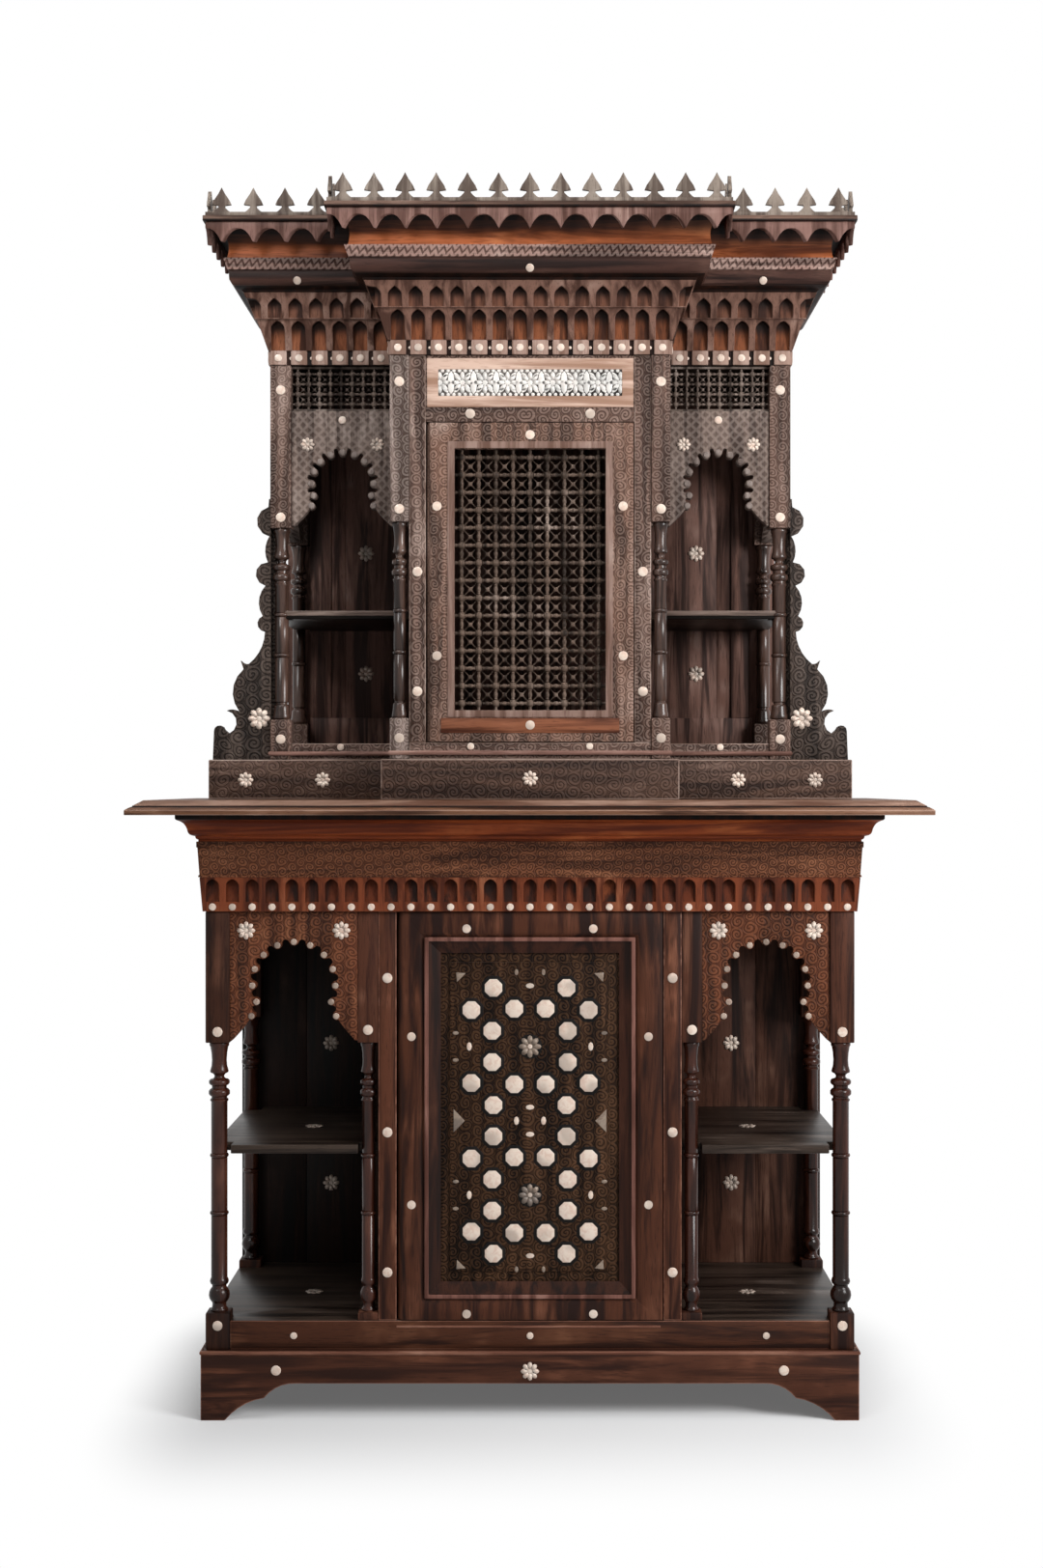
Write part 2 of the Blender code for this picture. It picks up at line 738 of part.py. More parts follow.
def build_partitions(stage, surface):
    """Partition beside each niche with a fixed stile on its front edge, the right one with a door stop."""
    front = stage.y_centre + STILE_SETBACK
    stop_front = stage.y_centre + DOOR_SETBACK + DOOR_THICKNESS + DOOR_GAP
    stop_back = stop_front + STOP_DEPTH
    for side, word in SIDES:
        outline = [
            (side * stage.x_stile_in, front),
            (side * stage.x_stile_out, front),
            (side * stage.x_stile_out, Y_INSIDE - FIT),
            (side * (stage.x_stile_out - PARTITION_BOARD), Y_INSIDE - FIT),
            (side * (stage.x_stile_out - PARTITION_BOARD), stop_back),
        ]
        if side > 0:
            outline += [
                (stage.x_stile_in - STOP_WIDTH, stop_back),
                (stage.x_stile_in - STOP_WIDTH, stop_front),
                (stage.x_stile_in, stop_front),
            ]
        else:
            outline.append((side * stage.x_stile_in, stop_back))
        board = prism(outline, "z", stage.z_floor, stage.z_ceiling - FIT)
        place(f"{stage.name}_partition_{word}", board, surface)


def build_posts(stage, surface):
    """Front outer, inner and back posts on each side."""
    outer_x = stage.x_bay_out + stage.outer_post / 2
    inner_x = stage.x_bay_in - stage.inner_post / 2
    places = (
        ("front", outer_x, stage.y_side + stage.outer_post / 2, stage.outer_post, stage.z_base),
        ("inner", inner_x, stage.y_inner + stage.inner_post / 2, stage.inner_post, stage.z_inner),
        ("back", outer_x, Y_INSIDE - FIT - stage.outer_post / 2, stage.outer_post, stage.z_base),
    )
    for side, word in SIDES:
        for kind, x, y, size, z_low in places:
            post = turned_post(side * x, y, size, z_low, stage)
            thing = place(f"{stage.name}_{kind}_post_{word}", post, surface)
            thing.data.shade_smooth()
            thing.data.set_sharp_from_angle(angle=math.radians(40))


def build_arches(stage, surface):
    """Cusped arch boards across the front of each niche and across its open side."""
    wall_side = stage.x_bay_in if stage.y_centre == stage.y_side else stage.x_stile_out
    low = wall_side + FIT
    high = stage.x_bay_out - FIT
    half = stage.bay / 2 - ARCH_TIP
    middle = (stage.x_bay_in + stage.x_bay_out) / 2
    z_top = stage.arch_top - FIT
    edge = arch_edge(half, stage.arch_radius, stage.flare_drop, stage.fringe)
    outline = arch_outline(low, high, middle, z_top, stage.z_arch, edge, stage.fringe)
    y_front = stage.y_side + ARCH_SETBACK
    side_low = stage.y_side + stage.outer_post + FIT
    side_high = Y_INSIDE - stage.outer_post - 2 * FIT
    side_half = (side_high - side_low) / 2 - ARCH_TIP
    side_flare = stage.z_arch + stage.side_radius * math.cos(ARCH_SWEEP) - stage.z_spring
    side_edge = arch_edge(side_half, stage.side_radius, side_flare, stage.fringe)
    side_middle = (side_low + side_high) / 2
    side_top = stage.z_ceiling - FIT
    side_outline = arch_outline(
        side_low, side_high, side_middle, side_top, stage.z_arch, side_edge, stage.fringe
    )
    x_face = stage.x_outer - ARCH_SETBACK
    for side, word in SIDES:
        mirrored = [(side * x, z) for x, z in outline]
        board = prism(mirrored, "y", y_front, y_front + ARCH_BOARD)
        place(f"{stage.name}_arch_{word}", board, surface)
        board = prism(side_outline, "x", side * (x_face - ARCH_BOARD), side * x_face)
        place(f"{stage.name}_side_arch_{word}", board, surface)


def build_shelves(stage, surface):
    """Niche shelf on each side, notched round the posts."""
    front = stage.y_side + SHELF_SETBACK
    wall = stage.x_stile_out + FIT
    edge = stage.x_outer - SIDE_SETBACK
    outer = stage.x_bay_out - FIT
    outer_post_back = stage.y_side + stage.outer_post + FIT
    back_post_front = Y_INSIDE - stage.outer_post - 2 * FIT
    outline = [
        (wall, Y_INSIDE - FIT),
        (outer, Y_INSIDE - FIT),
        (outer, back_post_front),
        (edge, back_post_front),
        (edge, outer_post_back),
        (outer, outer_post_back),
        (outer, front),
    ]
    if front < stage.inner_post_back:
        inner = stage.x_bay_in + FIT
        outline += [(inner, front), (inner, stage.inner_post_back), (wall, stage.inner_post_back)]
    else:
        outline.append((wall, front))
    top = stage.z_floor + stage.shelf_height
    for side, word in SIDES:
        mirrored = [(side * x, y) for x, y in outline]
        place(f"{stage.name}_shelf_{word}", prism(mirrored, "z", top - SHELF_BOARD, top), surface)


def build_ceiling(stage, surface):
    """Ceiling board inside the frieze."""
    outline = stage.plan(-FRIEZE_WALL - FIT, Y_INSIDE - FIT)
    board = prism(outline, "z", stage.z_ceiling, stage.z_ceiling + CEILING_BOARD)
    place(f"{stage.name}_ceiling", board, surface)


def build_table():
    """Frieze, cyma moulding and bevelled table top over the lower stage."""
    frieze_top = Z_CYMA - FIT
    frieze_profile = [
        (-FRIEZE_WALL, Z_LOWER_CEILING),
        (FRIEZE_FOOT_PROJECTION, Z_LOWER_CEILING),
        (FRIEZE_FOOT_PROJECTION, Z_LOWER_CEILING + FRIEZE_FOOT),
        (FRIEZE_TOP_PROJECTION, frieze_top),
        (-FRIEZE_WALL, frieze_top),
    ]
    frieze = place("lower_frieze", sweep(frieze_profile, LOWER, Y_INSIDE - FIT), "amber_walnut")
    cyma_top = Z_TABLE_UNDER - FIT
    cyma_profile = [
        (-FRIEZE_WALL, Z_CYMA),
        (CYMA_FOOT_PROJECTION, Z_CYMA),
        (CYMA_FOOT_PROJECTION, Z_CYMA + CYMA_FOOT_FILLET),
        (CYMA_BELLY_PROJECTION, Z_CYMA + CYMA_BELLY_FOOT),
        (CYMA_BELLY_PROJECTION, Z_CYMA + CYMA_BELLY_FOOT + CYMA_BELLY),
        (CYMA_TOP_PROJECTION, Z_TABLE_UNDER - CYMA_TOP_FILLET),
        (CYMA_TOP_PROJECTION, cyma_top),
        (-FRIEZE_WALL, cyma_top),
    ]
    place("table_moulding", sweep(cyma_profile, LOWER, Y_INSIDE - FIT), "amber_walnut")
    half = LOWER.x_outer + TABLE_SIDE_OVERHANG
    front = Y_LOWER - TABLE_FRONT_OVERHANG
    levels = ((0.0, Z_TABLE_UNDER), (0.0, Z_TABLE_UNDER + TABLE_EDGE), (TABLE_BEVEL, Z_TABLE - FIT))
    loops = []
    for inset, z in levels:
        side = half - inset
        y = front + inset
        corners = ((-side, y), (side, y), (side, Y_BACK), (-side, Y_BACK))
        loops.append([Vector((*corner, z)) for corner in corners])
    place("tabletop", loft(loops), "red_walnut")
    return frieze


def build_upper_plinth():
    """Plinth of the upper stage, wide enough to carry the side brackets, hollow underneath."""
    half = UPPER.x_outer + BRACKET_WIDTH + RAIL_SETBACK
    step = UPPER.x_bay_in + UPPER_PLINTH_PROJECTION
    y_side = Y_SIDE - UPPER_PLINTH_PROJECTION
    y_centre = Y_CENTRE - UPPER_PLINTH_PROJECTION
    back = Y_INSIDE - FIT
    right = [(step, y_centre), (step, y_side), (half, y_side), (half, back)]
    outline = [(-x, y) for x, y in reversed(right)] + right
    top = Z_UPPER_BASE - FIT
    plinth = place("upper_plinth", prism(outline, "z", Z_TABLE, top), "grey_walnut")
    pocket = box(
        POCKET_WALL - half,
        half - POCKET_WALL,
        y_side + POCKET_WALL,
        back - POCKET_WALL,
        Z_TABLE - POCKET_CROWN,
        top - min(POCKET_CROWN, UPPER_PLINTH_HEIGHT / 2),
    )
    combine(plinth, pocket, "DIFFERENCE")


def build_brackets():
    """Scalloped bracket on each side, standing on the upper plinth against the front post."""
    x_post = UPPER.x_outer + FIT
    foot = Z_UPPER_BASE
    outline = [(x_post, foot)]
    start = (x_post + BRACKET_WIDTH, foot)
    for reach, height, rise in BRACKET_SCROLL_SHARES:
        end = (x_post + BRACKET_WIDTH * reach, foot + BRACKET_HEIGHT * height)
        outline += foil(start, end, BRACKET_WIDTH * rise)
        start = end
    outline += [start, (x_post, foot + BRACKET_HEIGHT)]
    y_middle = Y_SIDE + UPPER_OUTER_POST / 2
    for side, word in SIDES:
        mirrored = [(side * x, z) for x, z in outline]
        board = prism(mirrored, "y", y_middle - BRACKET_BOARD / 2, y_middle + BRACKET_BOARD / 2)
        place(f"side_bracket_{word}", board, "grey_walnut")


def build_header():
    """Board over the upper door, with a sunk cartouche inside a raised frame."""
    half = UPPER.x_stile_in - FIT
    front = Y_CENTRE + STILE_SETBACK
    back = front + HEADER_BOARD
    top = Z_UPPER_CEILING - FIT
    frame = HEADER_FRAME
    sunk = (-half + frame, half - frame, Z_HEADER + HEADER_RAIL, top - frame)
    loops = [
        rectangle(-half, half, Z_HEADER, top, back),
        rectangle(-half, half, Z_HEADER, top, front),
        rectangle(*sunk, front),
        rectangle(*sunk, front + STILE_SETBACK),
    ]
    return place("upper_header", loft(loops), "grey_walnut")


def build_small_lattices():
    """Lattice over each upper arch."""
    y_low = Y_SIDE + ARCH_SETBACK + (ARCH_BOARD - LATTICE_BOARD) / 2
    low = UPPER.x_stile_out + FIT
    high = UPPER.x_bay_out - FIT
    z_low = UPPER.arch_top
    z_high = Z_UPPER_CEILING - FIT
    for side, word in SIDES:
        x_low, x_high = sorted((side * low, side * high))
        grille = lattice(x_low, x_high, z_low, z_high, y_low, SMALL_LATTICE_PITCH)
        place(f"upper_lattice_{word}", grille, "grey_walnut")


@dataclass
class Door:
    """Leaf of one door: hinged on its left edge, which is rounded about the pivot."""

    stage: Stage
    z_seat_low: float
    z_seat_high: float
    top_rail: float
    foot_rail: float

    def __post_init__(self):
        self.radius = DOOR_THICKNESS / 2
        self.front = self.stage.y_centre + DOOR_SETBACK
        self.back = self.front + DOOR_THICKNESS
        self.x_high = self.stage.x_door
        self.x_axis = -self.stage.x_door + self.radius
        self.y_axis = self.front + self.radius
        self.z_low = self.z_seat_low + DOOR_GAP
        self.z_high = self.z_seat_high - DOOR_GAP
        self.opening = (
            DOOR_STILE - self.stage.x_door,
            self.stage.x_door - DOOR_STILE,
            self.z_low + self.foot_rail,
            self.z_high - self.top_rail,
        )
        self.rebate_front = self.back - DOOR_REBATE_DEPTH

    def grown(self, growth):
        """The frame's opening, grown on all four sides."""
        x_low, x_high, z_low, z_high = self.opening
        return (x_low - growth, x_high + growth, z_low - growth, z_high + growth)

    def frame(self):
        """Frame with a chamfered opening, a rebate behind it and a rounded hinge edge."""
        loops = [
            rectangle(*self.grown(0.0), self.rebate_front),
            rectangle(*self.grown(0.0), self.front + DOOR_CHAMFER_DEPTH),
            rectangle(*self.grown(DOOR_CHAMFER), self.front),
        ]
        for i in range(DOOR_EDGE_STEPS + 1):
            turn = math.pi * (i / DOOR_EDGE_STEPS - 0.5)
            x_low = self.x_axis - self.radius * math.cos(turn)
            y = self.y_axis + self.radius * math.sin(turn)
            loops.append(rectangle(x_low, self.x_high, self.z_low, self.z_high, y))
        loops.append(rectangle(*self.grown(DOOR_REBATE), self.back))
        loops.append(rectangle(*self.grown(DOOR_REBATE), self.rebate_front))
        return loft(loops, ring=True)


def build_door(door, surface, seats):
    """Empty on the pivot, frame on it, and the two pins with their holes in the seats."""
    name = door.stage.name
    axis = bpy.data.objects.new(f"{name}_door_axis", None)
    axis.location = (door.x_axis, door.y_axis, (door.z_low + door.z_high) / 2)
    bpy.context.scene.collection.objects.link(axis)
    bpy.context.view_layer.update()
    frame = place(f"{name}_door_frame", door.frame(), surface, axis)
    hole = PIN_REACH + PIN_CLEARANCE
    ends = (("foot", door.z_seat_low, 1, seats[0]), ("top", door.z_seat_high, -1, seats[1]))
    for word, z_seat, up, seat in ends:
        z_door = z_seat + up * DOOR_GAP
        door_hole = pin_hole(door.x_axis, door.y_axis, z_seat, z_door + up * hole)
        combine(frame, door_hole, "DIFFERENCE")
        seat_hole = pin_hole(door.x_axis, door.y_axis, z_door, z_seat - up * hole)
        combine(seat, seat_hole, "DIFFERENCE")
        place(f"{name}_pivot_{word}", pin(door.x_axis, door.y_axis, z_seat, up), "iron")
    return axis


def build_lower_door(floor, frieze):
    """Door with an inlaid, fielded panel."""
    door = Door(LOWER, Z_LOWER_FLOOR - FIT, Z_LOWER_CEILING, LOWER_DOOR_TOP_RAIL, LOWER_DOOR_FOOT_RAIL)
    axis = build_door(door, "red_walnut", (floor, frieze))
    face = door.rebate_front + FIT
    board = door.grown(DOOR_REBATE - FIT)
    field = door.grown(-PANEL_BORDER)
    loops = [
        rectangle(*board, door.back),
        rectangle(*board, face),
        rectangle(*field, face),
        rectangle(*field, face - PANEL_RISE),
    ]
    place("lower_door_panel", loft(loops), "dark_walnut", axis)


def build_upper_door(floor, header):
    """Door with a lattice."""
    door = Door(UPPER, Z_UPPER_FLOOR - FIT, Z_HEADER, UPPER_DOOR_TOP_RAIL, UPPER_DOOR_FOOT_RAIL)
    axis = build_door(door, "grey_walnut", (floor, header))
    x_low, x_high, z_low, z_high = door.grown(DOOR_REBATE - FIT)
    grille = lattice(x_low, x_high, z_low, z_high, door.rebate_front + FIT, LATTICE_PITCH)
    place("upper_door_lattice", grille, "dark_walnut", axis)


def build_cornice():
    """Two-tier stalactite frieze, roll and cove moulding, and top board."""
    back = Y_INSIDE - FIT
    frieze_top = Z_ROLL - FIT
    frieze_profile = [
        (-FRIEZE_WALL, Z_UPPER_CEILING),
        (DOT_BAND_PROJECTION, Z_UPPER_CEILING),
        (DOT_BAND_PROJECTION, Z_LOWER_TIER),
        (LOWER_TIER_PROJECTION, Z_UPPER_TIER),
        (UPPER_TIER_FOOT_PROJECTION, Z_UPPER_TIER),
        (UPPER_TIER_PROJECTION, frieze_top),
        (-FRIEZE_WALL, frieze_top),
    ]
    place("stalactite_frieze", sweep(frieze_profile, UPPER, back), "grey_walnut")
    cornice_top = Z_TOP_BOARD - FIT
    cornice_profile = [
        (-FRIEZE_WALL, Z_ROLL),
        (UPPER_TIER_PROJECTION, Z_ROLL),
        (ROLL_SHOULDER_PROJECTION, Z_ROLL + ROLL_SHOULDER),
        (ROLL_PROJECTION, Z_BAND - ROLL_FILLET),
        (ROLL_PROJECTION, Z_BAND),
        (BAND_PROJECTION, Z_BAND),
        (BAND_PROJECTION, Z_COVE),
        (COVE_PROJECTION, Z_COVE),
        (COVE_PROJECTION, cornice_top),
        (-FRIEZE_WALL, cornice_top),
    ]
    place("cornice_moulding", sweep(cornice_profile, UPPER, back), "amber_walnut")
    outline = UPPER.plan(CORNICE_PROJECTION, Y_BACK)
    place("cornice_top", prism(outline, "z", Z_TOP_BOARD, Z_CREST - FIT), "grey_walnut")


def runs(offset):
    """Straight runs of the cornice at an offset, each with its ends and its count of finials."""
    corners = [Vector(point) for point in UPPER.plan(offset, Y_INSIDE - FIT)]
    return [(a, b, max(1, round((b - a).length / CREST_PITCH))) for a, b in zip(corners, corners[1:])]


def build_valance():
    """Row of arches under the edge of the top board, with a pointed drop under each finial."""
    outer = CORNICE_PROJECTION - VALANCE_INSET
    inner = outer - VALANCE_BOARD
    top = Z_TOP_BOARD - FIT
    stations = []
    for (a, b, count), (c, d, _) in zip(runs(outer), runs(inner)):
        steps = 2 * VALANCE_STEPS * count
        for i in range(steps + 1):
            if i == 0 and stations:
                continue
            front = a.lerp(b, i / steps)
            rear = c.lerp(d, i / steps)
            from_crown = 1 - abs(i % (2 * VALANCE_STEPS) / VALANCE_STEPS - 1)
            foot = top - VALANCE_RAIL - (VALANCE_DROP - VALANCE_RAIL) * from_crown**VALANCE_CURVE
            stations.append([(*front, top), (*front, foot), (*rear, foot), (*rear, top)])
    place("valance", loft(stations), "amber_walnut")


def finial_outline():
    """Spade-shaped finial about its own middle, foot at zero."""
    right = [
        (FINIAL_FOOT, 0.0),
        (FINIAL_FLARE, FINIAL_FLARE_LEVEL),
        (FINIAL_NECK, FINIAL_NECK_LOW),
        (FINIAL_NECK, FINIAL_NECK_HIGH),
        (FINIAL_BARB, FINIAL_BARB_LEVEL),
        (FINIAL_SHOULDER, FINIAL_SHOULDER_LEVEL),
        (FINIAL_TAPER, FINIAL_TAPER_LEVEL),
    ]
    return right + [(0.0, FINIAL_HEIGHT)] + [(-x, z) for x, z in reversed(right)]


def build_cresting():
    """Rail along the cornice top with its finials joined to it."""
    outer = CORNICE_PROJECTION - CREST_INSET
    inner = outer - CREST_BOARD
    rail_top = Z_CREST + CREST_RAIL
    profile = [(inner, Z_CREST), (outer, Z_CREST), (outer, rail_top), (inner, rail_top)]
    cresting = place("cresting", sweep(profile, UPPER, Y_INSIDE - FIT), "grey_walnut")
    shape = bmesh.new()
    outline = finial_outline()
    foot = Z_CREST + CREST_RAIL / 2
    thick = CREST_BOARD - 2 * CREST_RELIEF
    for a, b, count in runs(outer - CREST_RELIEF):
        along = (b - a).normalized()
        inward = Vector((-along.y, along.x))
        for i in range(count):
            middle = a.lerp(b, (i + 0.5) / count)
            faces = []
            for depth in (0.0, thick):
                flat = [middle + along * u + inward * depth for u, v in outline]
                faces.append([shape.verts.new((*p, foot + v)) for p, (u, v) in zip(flat, outline)])
            shape.faces.new(faces[0])
            shape.faces.new(faces[1])
            for j in range(len(outline)):
                k = (j + 1) % len(outline)
                shape.faces.new((faces[0][j], faces[0][k], faces[1][k], faces[1][j]))
    combine(cresting, shape, "UNION")


def build_cabinet():
    """All pieces, from the ground up."""
    build_plinth()
    lower_floor = build_floor(LOWER, "red_walnut")
    build_back(LOWER, PLINTH_HEIGHT, Z_TABLE_UNDER - FIT, "dark_walnut")
    build_partitions(LOWER, "red_walnut")
    build_posts(LOWER, "red_walnut")
    build_arches(LOWER, "red_walnut")
    build_shelves(LOWER, "dark_walnut")
    build_ceiling(LOWER, "dark_walnut")
    frieze = build_table()
    build_lower_door(lower_floor, frieze)
    build_upper_plinth()
    upper_floor = build_floor(UPPER, "grey_walnut")
    build_back(UPPER, Z_TABLE, Z_TOP_BOARD - FIT, "dark_walnut")
    build_partitions(UPPER, "grey_walnut")
    build_posts(UPPER, "grey_walnut")
    build_arches(UPPER, "grey_walnut")
    build_shelves(UPPER, "dark_walnut")
    build_ceiling(UPPER, "dark_walnut")
    build_brackets()
    build_small_lattices()
    header = build_header()
    build_upper_door(upper_floor, header)
    build_cornice()
    build_valance()
    build_cresting()


clear_scene()
build_cabinet()
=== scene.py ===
import math

import bpy
from mathutils import Matrix, Vector


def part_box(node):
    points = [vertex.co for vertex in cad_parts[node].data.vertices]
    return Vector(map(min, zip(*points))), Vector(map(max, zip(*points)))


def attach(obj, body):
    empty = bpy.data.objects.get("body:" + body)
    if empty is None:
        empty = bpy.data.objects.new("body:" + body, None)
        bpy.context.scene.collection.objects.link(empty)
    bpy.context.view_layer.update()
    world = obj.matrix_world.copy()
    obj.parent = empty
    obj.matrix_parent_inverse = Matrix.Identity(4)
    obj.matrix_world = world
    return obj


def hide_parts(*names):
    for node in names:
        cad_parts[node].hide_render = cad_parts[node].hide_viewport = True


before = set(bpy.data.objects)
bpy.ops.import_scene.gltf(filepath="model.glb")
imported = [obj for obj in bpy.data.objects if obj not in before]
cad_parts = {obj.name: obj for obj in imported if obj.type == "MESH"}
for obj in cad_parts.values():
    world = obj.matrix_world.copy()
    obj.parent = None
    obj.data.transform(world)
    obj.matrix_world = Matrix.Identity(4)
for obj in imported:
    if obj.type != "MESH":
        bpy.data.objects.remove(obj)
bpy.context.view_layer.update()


# Plinth: three skirt boards with cusped bracket feet and a rail behind. Solid walnut sawn to shape,
# its arrises rubbed round, dark with old wax, and glued and pinned under the lower stage.
class Wire:
    """A value on a socket of a material. Sums on it add nodes to that material."""

    def __init__(self, socket):
        self.socket = socket

    def node(self, kind, settings, values, out=0):
        """Any node: its settings first, then the values or links of its sockets."""
        tree = self.socket.id_data
        made = tree.nodes.new(kind)
        for key, value in settings.items():
            setattr(made, key, value)
        for key, value in values.items():
            if isinstance(value, Wire):
                tree.links.new(value.socket, made.inputs[key])
            else:
                made.inputs[key].default_value = value
        return Wire(made.outputs[out])

    def maths(self, operation, first, second=0.0):
        return self.node("ShaderNodeMath", {"operation": operation}, {0: first, 1: second})

    def __add__(self, other):
        return self.maths("ADD", self, other)

    def __sub__(self, other):
        return self.maths("SUBTRACT", self, other)

    def __rsub__(self, other):
        return self.maths("SUBTRACT", other, self)

    def __mul__(self, other):
        return self.maths("MULTIPLY", self, other)

    def __truediv__(self, other):
        return self.maths("DIVIDE", self, other)

    __radd__ = __add__
    __rmul__ = __mul__

    def step(self, low, high):
        """0 below low, 1 above high, eased between."""
        easing = {"interpolation_type": "SMOOTHSTEP"}
        return self.node("ShaderNodeMapRange", easing, {"Value": self, "From Min": low, "From Max": high})

    def blend(self, first, second):
        """From one colour to another as this value goes from 0 to 1."""
        return self.node("ShaderNodeMix", {"data_type": "RGBA"}, {0: self, 6: first, 7: second}, out=2)

    def stretched(self, scale):
        return self.node("ShaderNodeVectorMath", {"operation": "MULTIPLY"}, {0: self, 1: scale})

    def noise(self, scale, detail, warp=0.0):
        return self.node(
            "ShaderNodeTexNoise",
            {},
            {"Vector": self, "Scale": scale, "Detail": detail, "Roughness": 0.6, "Distortion": warp},
        )

    def axis(self, number):
        return self.node("ShaderNodeSeparateXYZ", {}, {0: self}, out=number)


def stain(red, green, blue):
    """A colour as read off the object, 0 to 255, made linear."""
    return tuple(((c / 255 + 0.055) / 1.055) ** 2.4 for c in (red, green, blue)) + (1.0,)


def new_finish(name):
    """A material, its shader, and the place on the object as the start of its sums."""
    finish = bpy.data.materials.new(name)
    finish.use_nodes = True
    nodes = finish.node_tree.nodes
    return finish, nodes["Principled BSDF"], Wire(nodes.new("ShaderNodeTexCoord").outputs["Object"])


def feed(shader, key, wire):
    shader.id_data.links.new(wire.socket, shader.inputs[key])


def walnut(
    name, deep, body, worn, run, carving=None, cut=0.0012, dull=0.46, shine=0.12, shade=0.62, painted_shade_levels=None
):
    """Old waxed walnut: streaked along run, with dark pores, rubbed patches and any shallow carving.

    Painted shade may lie over it, darkening upward: none at the first level given and thick at the second.
    """
    finish, shader, point = new_finish(name)
    deep, body, worn = (stain(*tone) for tone in (deep, body, worn))
    fibres = point.stretched(tuple(0.07 if axis == run else 1.0 for axis in "xyz"))
    figure = fibres.noise(44.0, 4.0, 0.7)
    pores = fibres.noise(560.0, 2.0)
    patch = point.noise(8.0, 3.0)
    rubbed = patch.step(0.46, 0.70) * figure.step(0.44, 0.66)
    colour = figure.step(0.36, 0.60).blend(deep, body)
    colour = (rubbed * 0.75).blend(colour, worn)
    colour = (pores.step(0.56, 0.70) * 0.55).blend(colour, deep)
    height = figure * 0.10 - pores.step(0.5, 0.7) * 0.10
    if carving:
        relief = carving(point)
        # Painted shade: the carving's hollows are coloured darker, by the share given as shade.
        colour = (shade - relief * shade).blend(colour, deep)
        colour = (relief.step(0.6, 1.0) * 0.20).blend(colour, worn)
        height = height + relief
    # Painted shade: the colour goes darker upward between the two given levels.
    if painted_shade_levels:
        colour = (point.axis(2).step(*painted_shade_levels) * 0.92).blend(colour, stain(20, 10, 7))
    grain_bump = height.node(
        "ShaderNodeBump", {}, {"Height": height, "Strength": 0.75, "Distance": cut}
    )
    feed(shader, "Base Color", colour)
    feed(shader, "Roughness", dull + patch * 0.18 - rubbed * 0.12)
    feed(shader, "Normal", grain_bump)
    shader.inputs["Specular IOR Level"].default_value = shine
    return finish


def take(*pieces):
    """Select these pieces and nothing else."""
    bpy.ops.object.select_all(action="DESELECT")
    for piece in pieces:
        piece.select_set(True)
    bpy.context.view_layer.objects.active = pieces[0]


def smooth(piece, angle=35):
    take(piece)
    bpy.ops.object.shade_smooth_by_angle(angle=math.radians(angle))


def rub_edges(piece, width, steps=2):
    """Round off the sharp edges of a piece. The rounded arrises take its second finish if it has one."""
    take(piece)
    bevel = piece.modifiers.new("rubbed", "BEVEL")
    bevel.width = width
    bevel.segments = steps
    bevel.material = 1
    bevel.limit_method = "ANGLE"
    bevel.angle_limit = math.radians(38)
    bpy.ops.object.modifier_apply(modifier=bevel.name)
    smooth(piece)


def work_mesh():
    """Into the mesh of the piece in hand, with all of it selected."""
    bpy.ops.object.mode_set(mode="EDIT")
    bpy.ops.mesh.select_all(action="SELECT")


def face_outward():
    """Turn every face of the mesh in work outward, and leave the mesh."""
    bpy.ops.mesh.select_all(action="SELECT")
    bpy.ops.mesh.normals_make_consistent(inside=False)
    bpy.ops.object.mode_set(mode="OBJECT")


def planed(name, node, width=0.0012):
    """A copy of a CAD board with its arrises rubbed round."""
    piece = bpy.data.objects.new(name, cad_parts[node].data.copy())
    bpy.context.scene.collection.objects.link(piece)
    piece.data.materials.clear()
    for face_or_arris in range(2):
        piece.data.materials.append(None)
    take(piece)
    bpy.ops.mesh.customdata_custom_splitnormals_clear()
    work_mesh()
    bpy.ops.mesh.remove_doubles(threshold=0.00001)
    bpy.ops.mesh.dissolve_limited(angle_limit=math.radians(2))
    bpy.ops.object.mode_set(mode="OBJECT")
    rub_edges(piece, width)
    return piece


def set_in(piece, finishes, slot, *nodes, body="cabinet"):
    """Finish a piece, fix it to its body, and let it stand for the CAD nodes it renders."""
    numbers = [face.material_index for face in piece.data.polygons]
    piece.data.materials.clear()
    for finish in finishes:
        piece.data.materials.append(finish)
    for face, number in zip(piece.data.polygons, numbers):
        face.material_index = number if number < len(finishes) else 0
    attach(piece, body)
    if nodes:
        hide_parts(*nodes)


def set_planed(name, node, width, finishes, slot, body="cabinet"):
    """A copy of a CAD board with its arrises rubbed round, finished and fixed in that board's place."""
    set_in(planed(name, node, width), finishes, slot, node, body=body)


lower_half = 0.5378
lower_front = -0.160
back_line = 0.2547


def lower_plan(out):
    """Corners of the lower stage in plan, that far out from its posts, from back left to back right."""
    half = lower_half + out
    front = lower_front - out
    return [Vector(c) for c in ((-half, back_line), (-half, front), (half, front), (half, back_line))]


def outline(points):
    """A flat face through points that are given in order."""
    bpy.ops.mesh.primitive_circle_add(vertices=len(points), radius=1, fill_type="NGON")
    piece = bpy.context.object
    for vert, place in zip(piece.data.vertices, points):
        vert.co = place
    return piece


